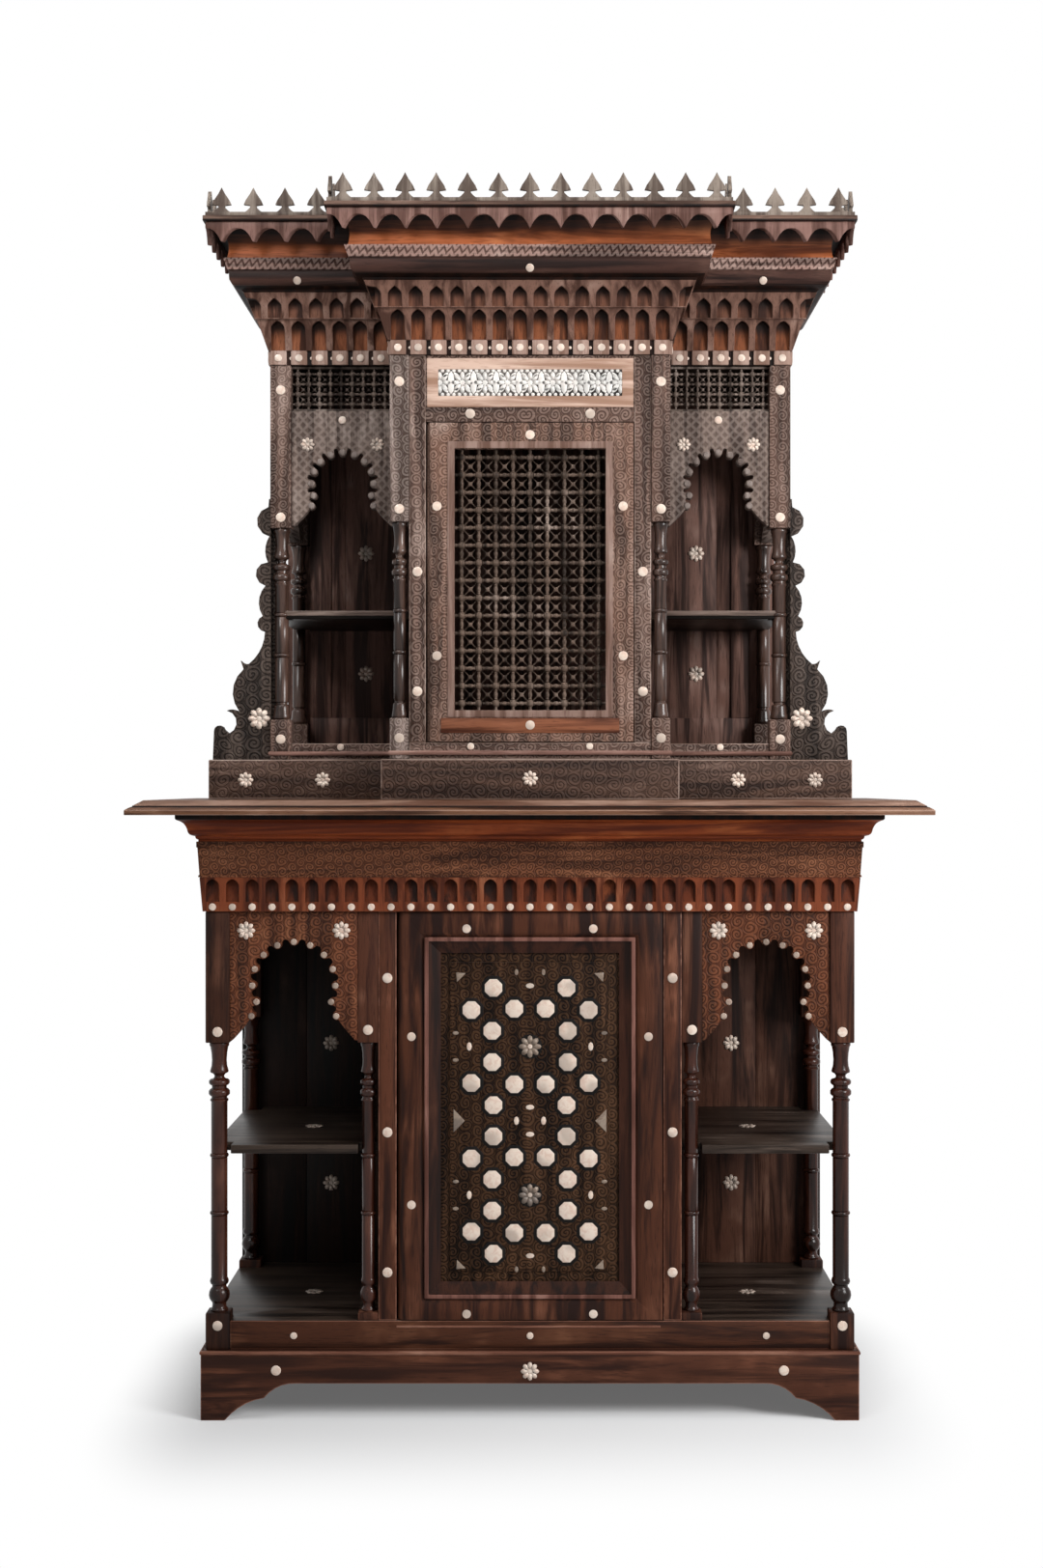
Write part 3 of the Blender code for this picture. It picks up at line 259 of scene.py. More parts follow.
def run_moulding(name, profile, plan):
    """A moulding of (out, height) points run round the corners of a plan and mitred there."""
    corners = [[(*plan(out)[i], z) for out, z in profile] for i in range(len(plan(0.0)))]
    piece = outline(corners[0])
    piece.name = name
    numbers = {i: i for i in range(len(profile))}
    for station in corners[1:]:
        before = {tuple(piece.data.vertices[v].co): n for v, n in numbers.items()}
        bpy.ops.object.mode_set(mode="EDIT")
        bpy.ops.mesh.extrude_region_move(TRANSFORM_OT_translate={"value": (0, 0, 0)})
        bpy.ops.object.mode_set(mode="OBJECT")
        numbers = {vert.index: before[tuple(vert.co)] for vert in piece.data.vertices if vert.select}
        for v, n in numbers.items():
            piece.data.vertices[v].co = station[n]
    bpy.ops.object.mode_set(mode="EDIT")
    face_outward()
    smooth(piece, 40)
    return piece


plinth_tones = ((40, 20, 13), (70, 39, 26), (104, 64, 46))
red_worn = walnut("red_worn_walnut", (84, 50, 38), (122, 82, 66), (158, 120, 102), run="x")
skirt_finish = walnut("plinth_walnut", *plinth_tones, run="x")
side_skirt_finish = walnut("plinth_side_walnut", *plinth_tones, run="y")
for side, finish in (
    ("front", skirt_finish),
    ("back", skirt_finish),
    ("left", side_skirt_finish),
    ("right", side_skirt_finish),
):
    set_planed(f"skirt_{side}", f"plinth_{side}", 0.0018, [finish, red_worn], "red_walnut")
plinth_bead_profile = (
    (0.0040, 0.1085), (0.0076, 0.1088), (0.0086, 0.1102),
    (0.0086, 0.1132), (0.0076, 0.1147), (0.0040, 0.1147),
)
set_in(run_moulding("plinth_bead", plinth_bead_profile, lower_plan), [red_worn], "red_walnut")


# Carcase boards: floors with their front rails, ceilings, niche shelves, partitions and the step under the
# upper stage. Planed walnut boards housed into the posts, the shelves and insides near black with shellac.
def hand_cut(point, size, share):
    """The place moved about by a share of the pattern's size, so that no two cuts are alike."""
    drift = point.node("ShaderNodeTexNoise", {}, {"Vector": point, "Scale": 0.5 / size, "Detail": 1.0}, out=1)
    reach = (size * share,) * 3
    return point.node("ShaderNodeVectorMath", {"operation": "MULTIPLY_ADD"}, {0: drift, 1: reach, 2: point})


def scrolls(size, middle=0.0):
    """Rows of small spirals cut with a gouge, size apart and turning by turns to the left and right.

    They are the same on both sides of the cabinet's middle, and one row stands that far from it.
    """

    def carving(point):
        bent = hand_cut(point, size, 0.55)
        x, y, z = (bent.axis(i) for i in range(3))
        column = (x.maths("ABSOLUTE", x) + y - middle) / size + 0.5
        row = z / size + column.maths("MODULO", column.maths("FLOOR", column), 2.0) * 0.5
        u = column.maths("FRACT", column) - 0.5
        v = row.maths("FRACT", row) - 0.5
        radius = u.maths("SQRT", u * u + v * v)
        hand = row.maths("MODULO", row.maths("FLOOR", row), 2.0) * 2.0 - 1.0
        turn = u.maths("ARCTAN2", v, u) * hand / (2.0 * math.pi)
        coil = radius * 3.6 + turn
        ridge = coil.maths("PINGPONG", coil, 0.5) * 2.0
        leaf = radius.step(0.50, 0.60)
        return ridge.step(0.10, 0.60) * (1.0 - leaf * 0.75)

    return carving


def board(name, low, high, width):
    """A plain board between two corners with its arrises rubbed round."""
    middle = [(a + b) / 2 for a, b in zip(low, high)]
    bpy.ops.mesh.primitive_cube_add(size=1, location=middle, scale=[b - a for a, b in zip(low, high)])
    piece = bpy.context.object
    piece.name = name
    bpy.ops.object.transform_apply()
    if width:
        rub_edges(piece, width)
    return piece


red_tones = ((34, 15, 9), (80, 45, 30), (126, 82, 62))
grey_tones = ((44, 29, 23), (102, 78, 68), (160, 140, 130))
dark_tones = ((14, 9, 7), (42, 31, 25), (78, 66, 58))
rail_finish = walnut("rail_walnut", (30, 13, 7), (66, 36, 22), (104, 66, 46), run="x")
step_finish = walnut("step_walnut", *grey_tones, run="x", carving=scrolls(0.020), shade=0.40)
grey_worn = walnut("grey_worn_walnut", (94, 74, 64), (140, 120, 110), (172, 154, 144), run="x")
dark_worn = walnut("dark_worn_walnut", (36, 28, 24), (62, 52, 46), (92, 80, 72), run="x", dull=0.30)
shelf_finish = walnut("shelf_shellac", *dark_tones, run="x", dull=0.30)
lower_shelf_finish = walnut(
    "lower_shelf_shellac", (20, 14, 11), (58, 47, 40), (98, 85, 77), run="x", dull=0.26
)
wall_finish = walnut("partition_walnut", *red_tones, run="z")
upper_wall_finish = walnut("upper_partition_walnut", *grey_tones, run="z", carving=scrolls(0.020), shade=0.42)
for node, finish, worn, slot in (
    ("lower_floor", rail_finish, red_worn, "red_walnut"),
    ("upper_floor", step_finish, grey_worn, "grey_walnut"),
    ("lower_ceiling", shelf_finish, dark_worn, "dark_walnut"),
    ("upper_ceiling", shelf_finish, dark_worn, "dark_walnut"),
    ("lower_shelf_left", lower_shelf_finish, dark_worn, "dark_walnut"),
    ("lower_shelf_right", lower_shelf_finish, dark_worn, "dark_walnut"),
    ("upper_shelf_left", shelf_finish, dark_worn, "dark_walnut"),
    ("upper_shelf_right", shelf_finish, dark_worn, "dark_walnut"),
    ("lower_partition_left", wall_finish, red_worn, "red_walnut"),
    ("lower_partition_right", wall_finish, red_worn, "red_walnut"),
    ("upper_partition_left", upper_wall_finish, grey_worn, "grey_walnut"),
    ("upper_partition_right", upper_wall_finish, grey_worn, "grey_walnut"),
):
    plank = planed(f"{node}_board", node, 0.0015)
    if node == "lower_floor":
        for face in plank.data.polygons:
            if face.normal.z > 0.9:
                face.material_index = 2
    set_in(plank, [finish, worn, lower_shelf_finish], slot, node)
painted_shadow_lip_finish = walnut("painted_shadow_lip_walnut", (8, 6, 5), (16, 12, 10), (28, 23, 20), run="x", shine=0.04)
lipping_finish = walnut(
    "lipping_walnut", (60, 48, 42), (108, 92, 84), (148, 132, 122), run="x", dull=0.36
)
niche_reach = (0.2198, 0.4298)
lip_height = 0.0085
lip_arris = 0.0010
for side, sign in (("left", -1), ("right", 1)):
    low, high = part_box(f"upper_shelf_{side}")
    left, right = sorted(sign * reach for reach in niche_reach)
    lip_foot = high.z - lip_height
    lipping = board(
        f"lipping_{side}", (left, low.y - 0.0015, lip_foot), (right, low.y + 0.006, high.z), lip_arris
    )
    set_in(lipping, [lipping_finish], "dark_walnut")
    # Under the lipping, a near black strip covers the rest of the shelf's front: a painted shadow.
    shadow = board(
        f"under_lip_{side}", (left, low.y - 0.0004, low.z), (right, low.y + 0.004, lip_foot), lip_arris
    )
    set_in(shadow, [painted_shadow_lip_finish], "dark_walnut")


# Backs: upright walnut planks side by side with a small V between them, framed by a stile and a rail at
# the edges of the outer face. Dark inside the niches, dry and dusty outside, and nailed to the back posts.
def joined(name, pieces):
    """Several pieces made one mesh."""
    take(*pieces)
    bpy.ops.object.join()
    whole = bpy.context.object
    whole.name = name
    whole.data.name = name
    return whole


lower_plank_finish = walnut("lower_back_walnut", (18, 9, 6), (56, 34, 25), (92, 64, 52), run="z")
painted_shade_plank_finish = walnut("painted_shade_back_walnut", (7, 4, 3), (28, 15, 10), (54, 36, 28), run="z")
painted_light_plank_finish = walnut("painted_light_back_walnut", (28, 15, 11), (76, 48, 37), (116, 86, 72), run="z")
upper_plank_finish = walnut("upper_back_walnut", (44, 29, 25), (110, 80, 70), (146, 120, 110), run="z")
niche_plank = 0.2985
back_field = 0.0037
back_stile = 0.030
lower_joints = (0.060, 0.179, 0.299, 0.418, lower_half)
upper_joints = (0.0, 0.115, 0.230, 0.345, 0.4528)
niche_rail = ((0.2045, 0.4110), 1.1235, 1.1758)
niche_stile = ((0.3716, 0.4040), 1.1758, 1.7700)
niche_frame_proud = 0.004
niche_frame_sunk = 0.001
for node, joints, finishes in (
    ("lower_back", lower_joints, [lower_plank_finish, painted_shade_plank_finish, painted_light_plank_finish]),
    ("upper_back", upper_joints, [upper_plank_finish]),
):
    low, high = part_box(node)
    lines = sorted({-joint for joint in joints} | set(joints))
    boards = []
    for left, right in zip(lines, lines[1:]):
        boards.append(board("plank", (left, low.y, low.z), (right, high.y - back_field, high.z), 0.0016))
    for left, right, foot, top in (
        (low.x, low.x + back_stile, low.z, high.z),
        (high.x - back_stile, high.x, low.z, high.z),
        (low.x + back_stile, high.x - back_stile, low.z, low.z + back_stile),
        (low.x + back_stile, high.x - back_stile, high.z - back_stile, high.z),
    ):
        boards.append(board("edge", (left, high.y - back_field, foot), (right, high.y, top), 0.0010))
    if node == "upper_back":
        front, back = low.y - niche_frame_proud, low.y + niche_frame_sunk
        for sign in (-1, 1):
            for reach, foot, top in (niche_rail, niche_stile):
                left, right = sorted(sign * x for x in reach)
                boards.append(board("niche_frame", (left, front, foot), (right, back, top), 0.0012))
    planks = joined(f"{node}_planks", boards)
    set_in(planks, finishes, "dark_walnut", node)
    # Painted light: lower planks behind the left niche take a shaded copy of the finish, and those behind the
    # right niche a lit one.
    for face in planks.data.polygons:
        if len(finishes) > 1 and abs(face.center.x) > niche_plank:
            face.material_index = 1 if face.center.x < 0 else 2


# Posts: one stick of walnut each, left square at head and foot and turned between, with a waisted capital,
# ringed collars, two thin rings on the shaft and a bulb over the foot block. Tenoned into the boards above
# and below.
capital = (
    (0.0000, 0.86), (0.0020, 0.93), (0.0060, 0.93), (0.0080, 0.85), (0.0180, 0.75), (0.0300, 0.70),
    (0.0400, 0.74), (0.0460, 0.84), (0.0490, 0.88), (0.0510, 0.84), (0.0530, 0.60), (0.0560, 0.47),
    (0.0590, 0.47), (0.0615, 0.62), (0.0625, 0.86), (0.0650, 0.98), (0.0690, 0.98), (0.0715, 0.86),
    (0.0730, 0.70), (0.0770, 0.70), (0.0790, 0.88), (0.0820, 1.00), (0.0870, 1.00), (0.0895, 0.88),
    (0.0910, 0.74), (0.0940, 0.74), (0.0955, 0.86), (0.0980, 0.86), (0.0995, 0.77),
)
lower_base = (
    (0.0000, 0.80), (0.0020, 0.84), (0.0040, 0.80), (0.0060, 0.68), (0.0130, 0.66), (0.0160, 0.78),
    (0.0200, 0.93), (0.0260, 1.00), (0.0320, 0.95), (0.0370, 0.80), (0.0395, 0.68), (0.0430, 0.68),
    (0.0450, 0.82), (0.0490, 0.90), (0.0530, 0.84), (0.0550, 0.77),
)
upper_base = (
    (0.0000, 0.88), (0.0020, 1.00), (0.0060, 1.00), (0.0100, 0.93), (0.0180, 0.86), (0.0230, 0.84),
    (0.0255, 0.78), (0.0265, 0.64), (0.0295, 0.64), (0.0310, 0.77),
)
shaft_ring = (
    (-0.0045, 0.77), (-0.0035, 0.70), (-0.0025, 0.84), (0.0000, 0.90),
    (0.0025, 0.84), (0.0035, 0.70), (0.0045, 0.77),
)
turning_allowance = 0.0025


def lathe(members, sides):
    """A turning about the upright through the origin, of (level, radius) members from its foot up."""
    level, radius = members[0]
    bpy.ops.mesh.primitive_circle_add(vertices=sides, radius=radius, fill_type="NGON", location=(0, 0, level))
    turning = bpy.context.object
    bpy.ops.object.transform_apply()
    work_mesh()
    for next_level, next_radius in members[1:]:
        bpy.ops.mesh.extrude_region_move(TRANSFORM_OT_translate={"value": (0, 0, next_level - level)})
        grow = next_radius / radius
        bpy.ops.transform.resize(value=(grow, grow, 1), center_override=(0, 0, next_level))
        level, radius = next_level, next_radius
    face_outward()
    return turning


def turned_post(width, foot, block, base, head, top, rings, turned, squared):
    """A post about the upright through the origin, square at both ends and turned between."""
    half = width / 2
    ends = [
        board("head", (-half, -half, head), (half, half, top), 0.0015),
        board("foot", (-half, -half, foot), (half, half, block), 0.0022),
    ]
    full = half - turning_allowance
    members = [(block + rise, share * full) for rise, share in base]
    for ring in rings:
        members += [(head - ring + rise, share * full) for rise, share in shaft_ring]
    members += [(head - drop, share * full) for drop, share in reversed(capital)]
    turning = lathe(sorted(members), 28)
    smooth(turning, 50)
    turning.data.materials.append(turned)
    for end in ends:
        end.data.materials.append(squared)
    return joined("post", [turning] + ends)


def copies(model, places):
    """Copies of a modelled piece, each with its own mesh and set in its place. The model goes."""
    made = []
    for place in places:
        copy = bpy.data.objects.new(model.name, model.data.copy())
        copy.data.transform(place)
        bpy.context.scene.collection.objects.link(copy)
        made.append(copy)
    bpy.data.objects.remove(model)
    return made


lower_post_finish = walnut("post_walnut", (28, 13, 9), (74, 42, 29), (122, 84, 66), run="z")
painted_shade_post_finish = walnut("painted_shade_post_walnut", (20, 9, 6), (52, 28, 18), (92, 60, 46), run="z")
upper_post_finish = walnut(
    "upper_post_walnut", *grey_tones, run="z", carving=scrolls(0.018), cut=0.0008, shade=0.40
)
painted_light_post_finish = walnut(
    "painted_light_post_walnut", (60, 46, 40), (132, 114, 106), (172, 158, 150), run="z",
    carving=scrolls(0.018), cut=0.0008, shade=0.40,
)
# Painted light: the lower left front post takes a shaded copy of its finish, and the upper left inner post a
# lit one.
painted_light_and_shade_by_post = {"lower_front_post_left": painted_shade_post_finish, "upper_inner_post_left": painted_light_post_finish}
lower_shaft_finish = walnut(
    "shaft_walnut", (22, 10, 6), (58, 29, 20), (90, 54, 40), run="z", cut=0.0003, dull=0.15, shine=0.22
)
upper_shaft_finish = walnut(
    "upper_shaft_walnut", (28, 18, 14), (74, 54, 46), (112, 90, 80), run="z",
    cut=0.0003, dull=0.15, shine=0.28,
)
lower_block = 0.1760
lower_head = 0.6237
upper_block = 1.1640
upper_head = 1.4940
lower_rings = (0.189, 0.285)
upper_rings = (0.149, 0.219)
for stage, block, base, head, rings, turned, squared, slot in (
    (
        "lower", lower_block, lower_base, lower_head, lower_rings,
        lower_shaft_finish, lower_post_finish, "red_walnut",
    ),
    (
        "upper", upper_block, upper_base, upper_head, upper_rings,
        upper_shaft_finish, upper_post_finish, "grey_walnut",
    ),
):
    for kind in ("front", "inner", "back"):
        nodes = [f"{stage}_{kind}_post_{side}" for side in ("left", "right")]
        spots = [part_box(node) for node in nodes]
        low, high = spots[0]
        model = turned_post(high.x - low.x, low.z, block, base, head, high.z, rings, turned, squared)
        places = [Matrix.Translation(((a.x + b.x) / 2, (a.y + b.y) / 2, 0)) for a, b in spots]
        for node, post in zip(nodes, copies(model, places)):
            post.name = f"{node}_turned"
            set_in(post, [turned, painted_light_and_shade_by_post.get(node, squared)], slot, node)


# Arches: boards between the posts, fretted to a horseshoe arch with a fringe of rounded fingers, the
# spandrels carved, below with scrolls and above with a trellis. A bead is let into the face of every
# finger, of pearl below and of worn wood above.
arch_sweep = math.radians(117)
fingers_on_flare = 0.42
flare_power = 1.5
arch_tip = 0.004


def fingers(half, radius, drop, pitch):
    """Middles of the fingers along half an arch from its crown down, about its round part's middle."""
    neck_x = radius * math.sin(arch_sweep)
    neck_z = radius * math.cos(arch_sweep)
    arc = radius * arch_sweep
    flare = math.hypot(half - neck_x, drop)
    middles = []
    for i in range(int((arc + fingers_on_flare * flare) / pitch) + 1):
        way = i * pitch
        if way <= arc:
            middles.append((radius * math.sin(way / radius), radius * math.cos(way / radius)))
        else:
            share = (way - arc) / flare
            middles.append((neck_x + (half - neck_x) * share**flare_power, neck_z - drop * share))
    return middles


def trellis(size):
    """Crossed fillets on the slant with a pit in every mesh, alike on both sides of the middle."""

    def carving(point):
        bent = hand_cut(point, size, 0.30)
        x, y, z = (bent.axis(i) for i in range(3))
        across = x.maths("ABSOLUTE", x) + y
        rising = (across + z) / size
        falling = (across - z) / size
        first = rising.maths("PINGPONG", rising, 0.5) * 2.0
        second = falling.maths("PINGPONG", falling, 0.5) * 2.0
        return first.maths("MAXIMUM", first, second).step(0.30, 0.80)

    return carving


def turn_to(facing):
    """How a piece that is modelled facing the front is turned to face front, left, right, back or up."""
    about_z = {"front": 0, "left": -90, "right": 90, "back": 180}
    if facing == "up":
        return Matrix.Rotation(math.radians(-90), 4, "X")
    return Matrix.Rotation(math.radians(about_z[facing]), 4, "Z")


def spot(x, y, z, facing="front", size=1.0):
    return Matrix.Translation((x, y, z)) @ turn_to(facing) @ Matrix.Diagonal((size, 1.0, size, 1.0))


def pearl_disc(radius, rise, sides=18):
    """A round of pearl facing the front, rounded over at its rim, its back just under the surface."""
    bpy.ops.mesh.primitive_cylinder_add(
        vertices=sides, radius=radius, depth=rise + 0.0006, rotation=(math.radians(90), 0, 0),
        location=(0, (0.0006 - rise) / 2, 0),
    )
    disc = bpy.context.object
    bpy.ops.object.transform_apply()
    bpy.ops.object.mode_set(mode="EDIT")
    bpy.ops.mesh.select_all(action="DESELECT")
    bpy.ops.object.mode_set(mode="OBJECT")
    for face in disc.data.polygons:
        face.select = face.normal.y < -0.9
    bpy.ops.object.mode_set(mode="EDIT")
    bpy.ops.mesh.bevel(offset=rise * 0.8, segments=2)
    bpy.ops.object.mode_set(mode="OBJECT")
    smooth(disc, 60)
    return disc


def nacre(name, body, rose, grey):
    """Mother-of-pearl: milky, with rosy and grey clouds that change from piece to piece, and a wax shine."""
    finish, shader, point = new_finish(name)
    body, rose, grey = (stain(*tone) for tone in (body, rose, grey))
    cloud = point.noise(95.0, 3.0, 1.2)
    piece_by_piece = point.noise(31.0, 0.0)
    colour = cloud.step(0.40, 0.66).blend(body, rose)
    colour = (piece_by_piece.step(0.50, 0.70) * 0.8).blend(colour, grey)
    ripple = point.noise(420.0, 2.0)
    feed(shader, "Base Color", colour)
    feed(shader, "Roughness", 0.22 + cloud * 0.25)
    bump = ripple.node("ShaderNodeBump", {}, {"Height": ripple, "Strength": 0.2, "Distance": 0.0004})
    feed(shader, "Normal", bump)
    shader.inputs["Specular IOR Level"].default_value = 0.5
    return finish


pearl = nacre("pearl", (208, 192, 178), (198, 172, 156), (166, 150, 138))
bead_pearl = nacre("bead_pearl", (160, 142, 128), (140, 118, 104), (112, 95, 84))
lower_arch_finish = walnut(
    "arch_walnut", (38, 18, 10), (94, 51, 32), (140, 90, 63), run="z", carving=scrolls(0.020), shade=0.46
)
upper_arch_finish = walnut(
    "upper_arch_walnut", (52, 40, 35), (104, 88, 80), (154, 140, 132), run="z",
    carving=trellis(0.017), cut=0.0008, shade=0.32,
)
worn_bead = walnut("worn_bead_walnut", (84, 72, 67), (128, 116, 110), (160, 150, 145), run="z")
arches = {
    "lower": {
        "level": 0.722, "radius": 0.069, "drop": 0.063, "pitch": 0.028,
        "half": 0.106, "middle": 0.3918, "side_radius": 0.085,
        "finish": lower_arch_finish, "bead": bead_pearl, "slot": "red_walnut", "bead_slot": "pearl",
    },
    "upper": {
        "level": 1.5705, "radius": 0.054, "drop": 0.048, "pitch": 0.0212,
        "half": 0.088, "middle": 0.3238, "side_radius": 0.063,
        "finish": upper_arch_finish, "bead": worn_bead, "slot": "grey_walnut", "bead_slot": "grey_walnut",
    },
}


def mirrored(points):
    """The points on both sides of a middle line, one that lies on the line once."""
    return [(sign * u, v) for u, v in points for sign in ((-1, 1) if u else (1,))]


for stage, arch in arches.items():
    bead_places = []
    side_drop = (arch["side_radius"] - arch["radius"]) * math.cos(arch_sweep) + arch["drop"]
    for side, sign in (("left", -1), ("right", 1)):
        node = f"{stage}_arch_{side}"
        set_planed(f"{node}_fretted", node, 0.0010, [arch["finish"]], arch["slot"])
        low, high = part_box(node)
        for u, v in mirrored(fingers(arch["half"] - arch_tip, arch["radius"], arch["drop"], arch["pitch"])):
            bead_places.append(spot(sign * arch["middle"] + u, low.y, arch["level"] + v))
        node = f"{stage}_side_arch_{side}"
        set_planed(f"{node}_fretted", node, 0.0010, [arch["finish"]], arch["slot"])
        low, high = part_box(node)
        side_half = (high.y - low.y) / 2 - arch_tip
        x_face = low.x if sign < 0 else high.x
        for u, v in mirrored(fingers(side_half, arch["side_radius"], side_drop, arch["pitch"])):
            bead_places.append(spot(x_face, (low.y + high.y) / 2 + u, arch["level"] + v, side))
    beads = joined(f"{stage}_arch_beads", copies(pearl_disc(0.0054, 0.0018, 14), bead_places))
    set_in(beads, [arch["bead"]], arch["bead_slot"])


# Lower frieze: a chip-carved band over an arcade of small hollowed niches, whose piers end in blocks with
# a pearl each. Cut from walnut boards that are mitred at the corners, reddish amber in the piers.
block_pitch = 0.033
hair = 0.00001


def niche_block(height, depth, mouth, crown, sill, hollow, point, at_edges, pitch=block_pitch):
    """A block facing the front with an arched niche in its middle or half a niche at each edge.

    The niche is cut deep under its crown and its back comes forward to the sill. The faces get a number each:
    0 for the block, 1 for the hollow's back, 2 for the rim and 3 for the underside of the crown,
    painted dark as shade.
    """
    clear = 0.010
    block = board("block", (-pitch / 2, 0, 0), (pitch / 2, depth, height), 0.0)
    springing = crown - point - mouth / 2
    arch = [(-mouth / 2, sill)]
    for i in range(11):
        turn = math.pi * (1 - i / 10)
        lift = point * max(0.0, 1.0 - abs(i - 5) / 2)
        arch.append((mouth / 2 * math.cos(turn), springing + mouth / 2 * math.sin(turn) + lift))
    arch.append((mouth / 2, sill))
    for x in (-pitch / 2, pitch / 2) if at_edges else (0.0,):
        tool = outline([(x + across, -clear, up) for across, up in arch])
        work_mesh()
        bpy.ops.mesh.extrude_region_move(TRANSFORM_OT_translate={"value": (0, clear, 0)})
        bpy.ops.object.mode_set(mode="OBJECT")
        for vert in tool.data.vertices:
            if vert.select:
                share = (vert.co.z - sill) / (crown - sill)
                vert.co.y = hollow * (0.25 + 0.75 * share)
        bpy.ops.object.mode_set(mode="EDIT")
        face_outward()
        take(block)
        cut = block.modifiers.new("niche", "BOOLEAN")
        cut.operation = "DIFFERENCE"
        cut.object = tool
        bpy.ops.object.modifier_apply(modifier=cut.name)
        bpy.data.objects.remove(tool)
    edge = pitch / 2 - hair
    for face in block.data.polygons:
        inside = abs(face.center.x) < edge and hair < face.center.y < depth - hair
        inside = inside and hair < face.center.z < height - hair
        face.material_index = 0
        if inside:
            # Faces under the crown take the painted shade.
            face.material_index = 3 if face.normal.z < -0.25 else 1
    bpy.ops.object.mode_set(mode="EDIT")
    bpy.ops.mesh.select_all(action="DESELECT")
    bpy.ops.mesh.select_mode(type="EDGE")
    bpy.ops.object.mode_set(mode="OBJECT")
    spots = block.data.vertices
    for line in block.data.edges:
        a, b = (spots[i].co for i in line.vertices)
        on_face = max(a.y, b.y) < hair
        on_side = abs(a.x - b.x) < hair and abs(a.x) > edge
        on_end = abs(a.z - b.z) < hair and (a.z < hair or a.z > height - hair)
        line.select = on_face and not on_side and not on_end
    bpy.ops.object.mode_set(mode="EDIT")
    bpy.ops.mesh.bevel(offset=0.0011, segments=1, material=2)
    bpy.ops.mesh.select_mode(type="VERT")
    bpy.ops.object.mode_set(mode="OBJECT")
    smooth(block, 40)
    return block


def along(name, model, finishes, plan, out_low, out_high, z_low, z_high, pitch=block_pitch):
    """Copies of a block side by side round a plan, leaning out from foot to top and mitred at the corners."""
    thick = max(vert.co.y for vert in model.data.vertices)
    tall = max(vert.co.z for vert in model.data.vertices)
    wide = max(vert.co.x for vert in model.data.vertices) * 2
    low, low_in, high, high_in = (plan(out) for out in (out_low, out_low - thick, out_high, out_high - thick))
    for finish in finishes:
        model.data.materials.append(finish)
    made = []
    for i in range(len(low) - 1):
        run = (low[i + 1] - low[i]).normalized()
        inward = Vector((-run.y, run.x)) * thick
        count = max(1, round((low[i + 1] - low[i]).length / pitch))
        for k in range(count):
            copy = bpy.data.objects.new("block", model.data.copy())
            bpy.context.scene.collection.objects.link(copy)
            for vert in copy.data.vertices:
                s = (k + vert.co.x / wide + 0.5) / count
                t = vert.co.z / tall
                d = vert.co.y / thick
                foot = low[i].lerp(low[i + 1], s) + inward * d
                top = foot - inward * (out_high - out_low) / thick
                if not 0.001 < s < 0.999:
                    end = i + round(s)
                    foot = low[end].lerp(low_in[end], d)
                    top = high[end].lerp(high_in[end], d)
                flat = foot.lerp(top, t)
                vert.co = (flat.x, flat.y, z_low + (z_high - z_low) * t)
            made.append(copy)
    bpy.data.objects.remove(model)
    return joined(name, made)


pier_finish = walnut("pier_walnut", (62, 27, 15), (112, 56, 33), (150, 98, 70), run="z")
hollow_finish = walnut("niche_walnut", (30, 12, 6), (86, 38, 18), (120, 64, 36), run="z")
rim_finish = walnut("rim_walnut", (84, 52, 38), (132, 92, 72), (166, 126, 104), run="z")
# Near black walnut that paints shade: under niche crowns, in slots and the quirk, and under overhangs.
painted_shade_finish = walnut("painted_shade_walnut", (12, 5, 3), (30, 13, 7), (52, 26, 15), run="z")
band_finish = walnut(
    "chip_walnut", (44, 21, 12), (100, 58, 38), (148, 98, 70), run="x", carving=scrolls(0.016)
)
low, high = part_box("lower_frieze")
arcade_foot = low.z
arcade_top = 0.8990
lean_foot = 0.004
lean_middle = 0.0085
lean_top = 0.012
arcade_depth = 0.0160
arcade_finishes = [pier_finish, hollow_finish, rim_finish, painted_shade_finish]
arcade_block = niche_block(
    height=0.057, depth=arcade_depth, mouth=0.0215, crown=0.0535, sill=0.0160, hollow=0.0140,
    point=0.001, at_edges=False,
)
arcade = along(
    "arcade", arcade_block, arcade_finishes, lower_plan, lean_foot, lean_middle, arcade_foot, arcade_top
)
set_in(arcade, arcade_finishes, "amber_walnut", "lower_frieze")
moulding_back = -0.028
fillet_out = lean_middle + 0.0016
lip_out = lean_top + 0.0010
behind = 0.0004 - arcade_depth
band_profile = (
    (fillet_out, arcade_top), (fillet_out, arcade_top + 0.003), (lean_middle, arcade_top + 0.004),
    (lean_top - 0.0006, high.z - 0.010), (lip_out, high.z - 0.009), (lip_out, high.z),
    (moulding_back, high.z), (moulding_back, low.z),
    (lean_foot + behind, low.z), (lean_middle + behind, arcade_top),
)
set_in(run_moulding("chip_band", band_profile, lower_plan), [band_finish], "amber_walnut", "lower_frieze")


# Table moulding and table top: a run cyma under an overhanging board with a moulded bevel. Walnut, the
# cyma warm amber under wax, the upper slope of the board's edge painted pale as a highlight, and the
# quirk and the cyma's top fillet painted dark as shade. The upper stage stands on it.
def bulge(start, end, rise, steps=6):
    """Points of a hollow or swelling curve between two points of a profile, without its end."""
    a, b = Vector(start), Vector(end)
    out = Vector((b.y - a.y, a.x - b.x)).normalized()
    return [tuple(a.lerp(b, i / steps) + out * rise * math.sin(math.pi * i / steps)) for i in range(steps)]


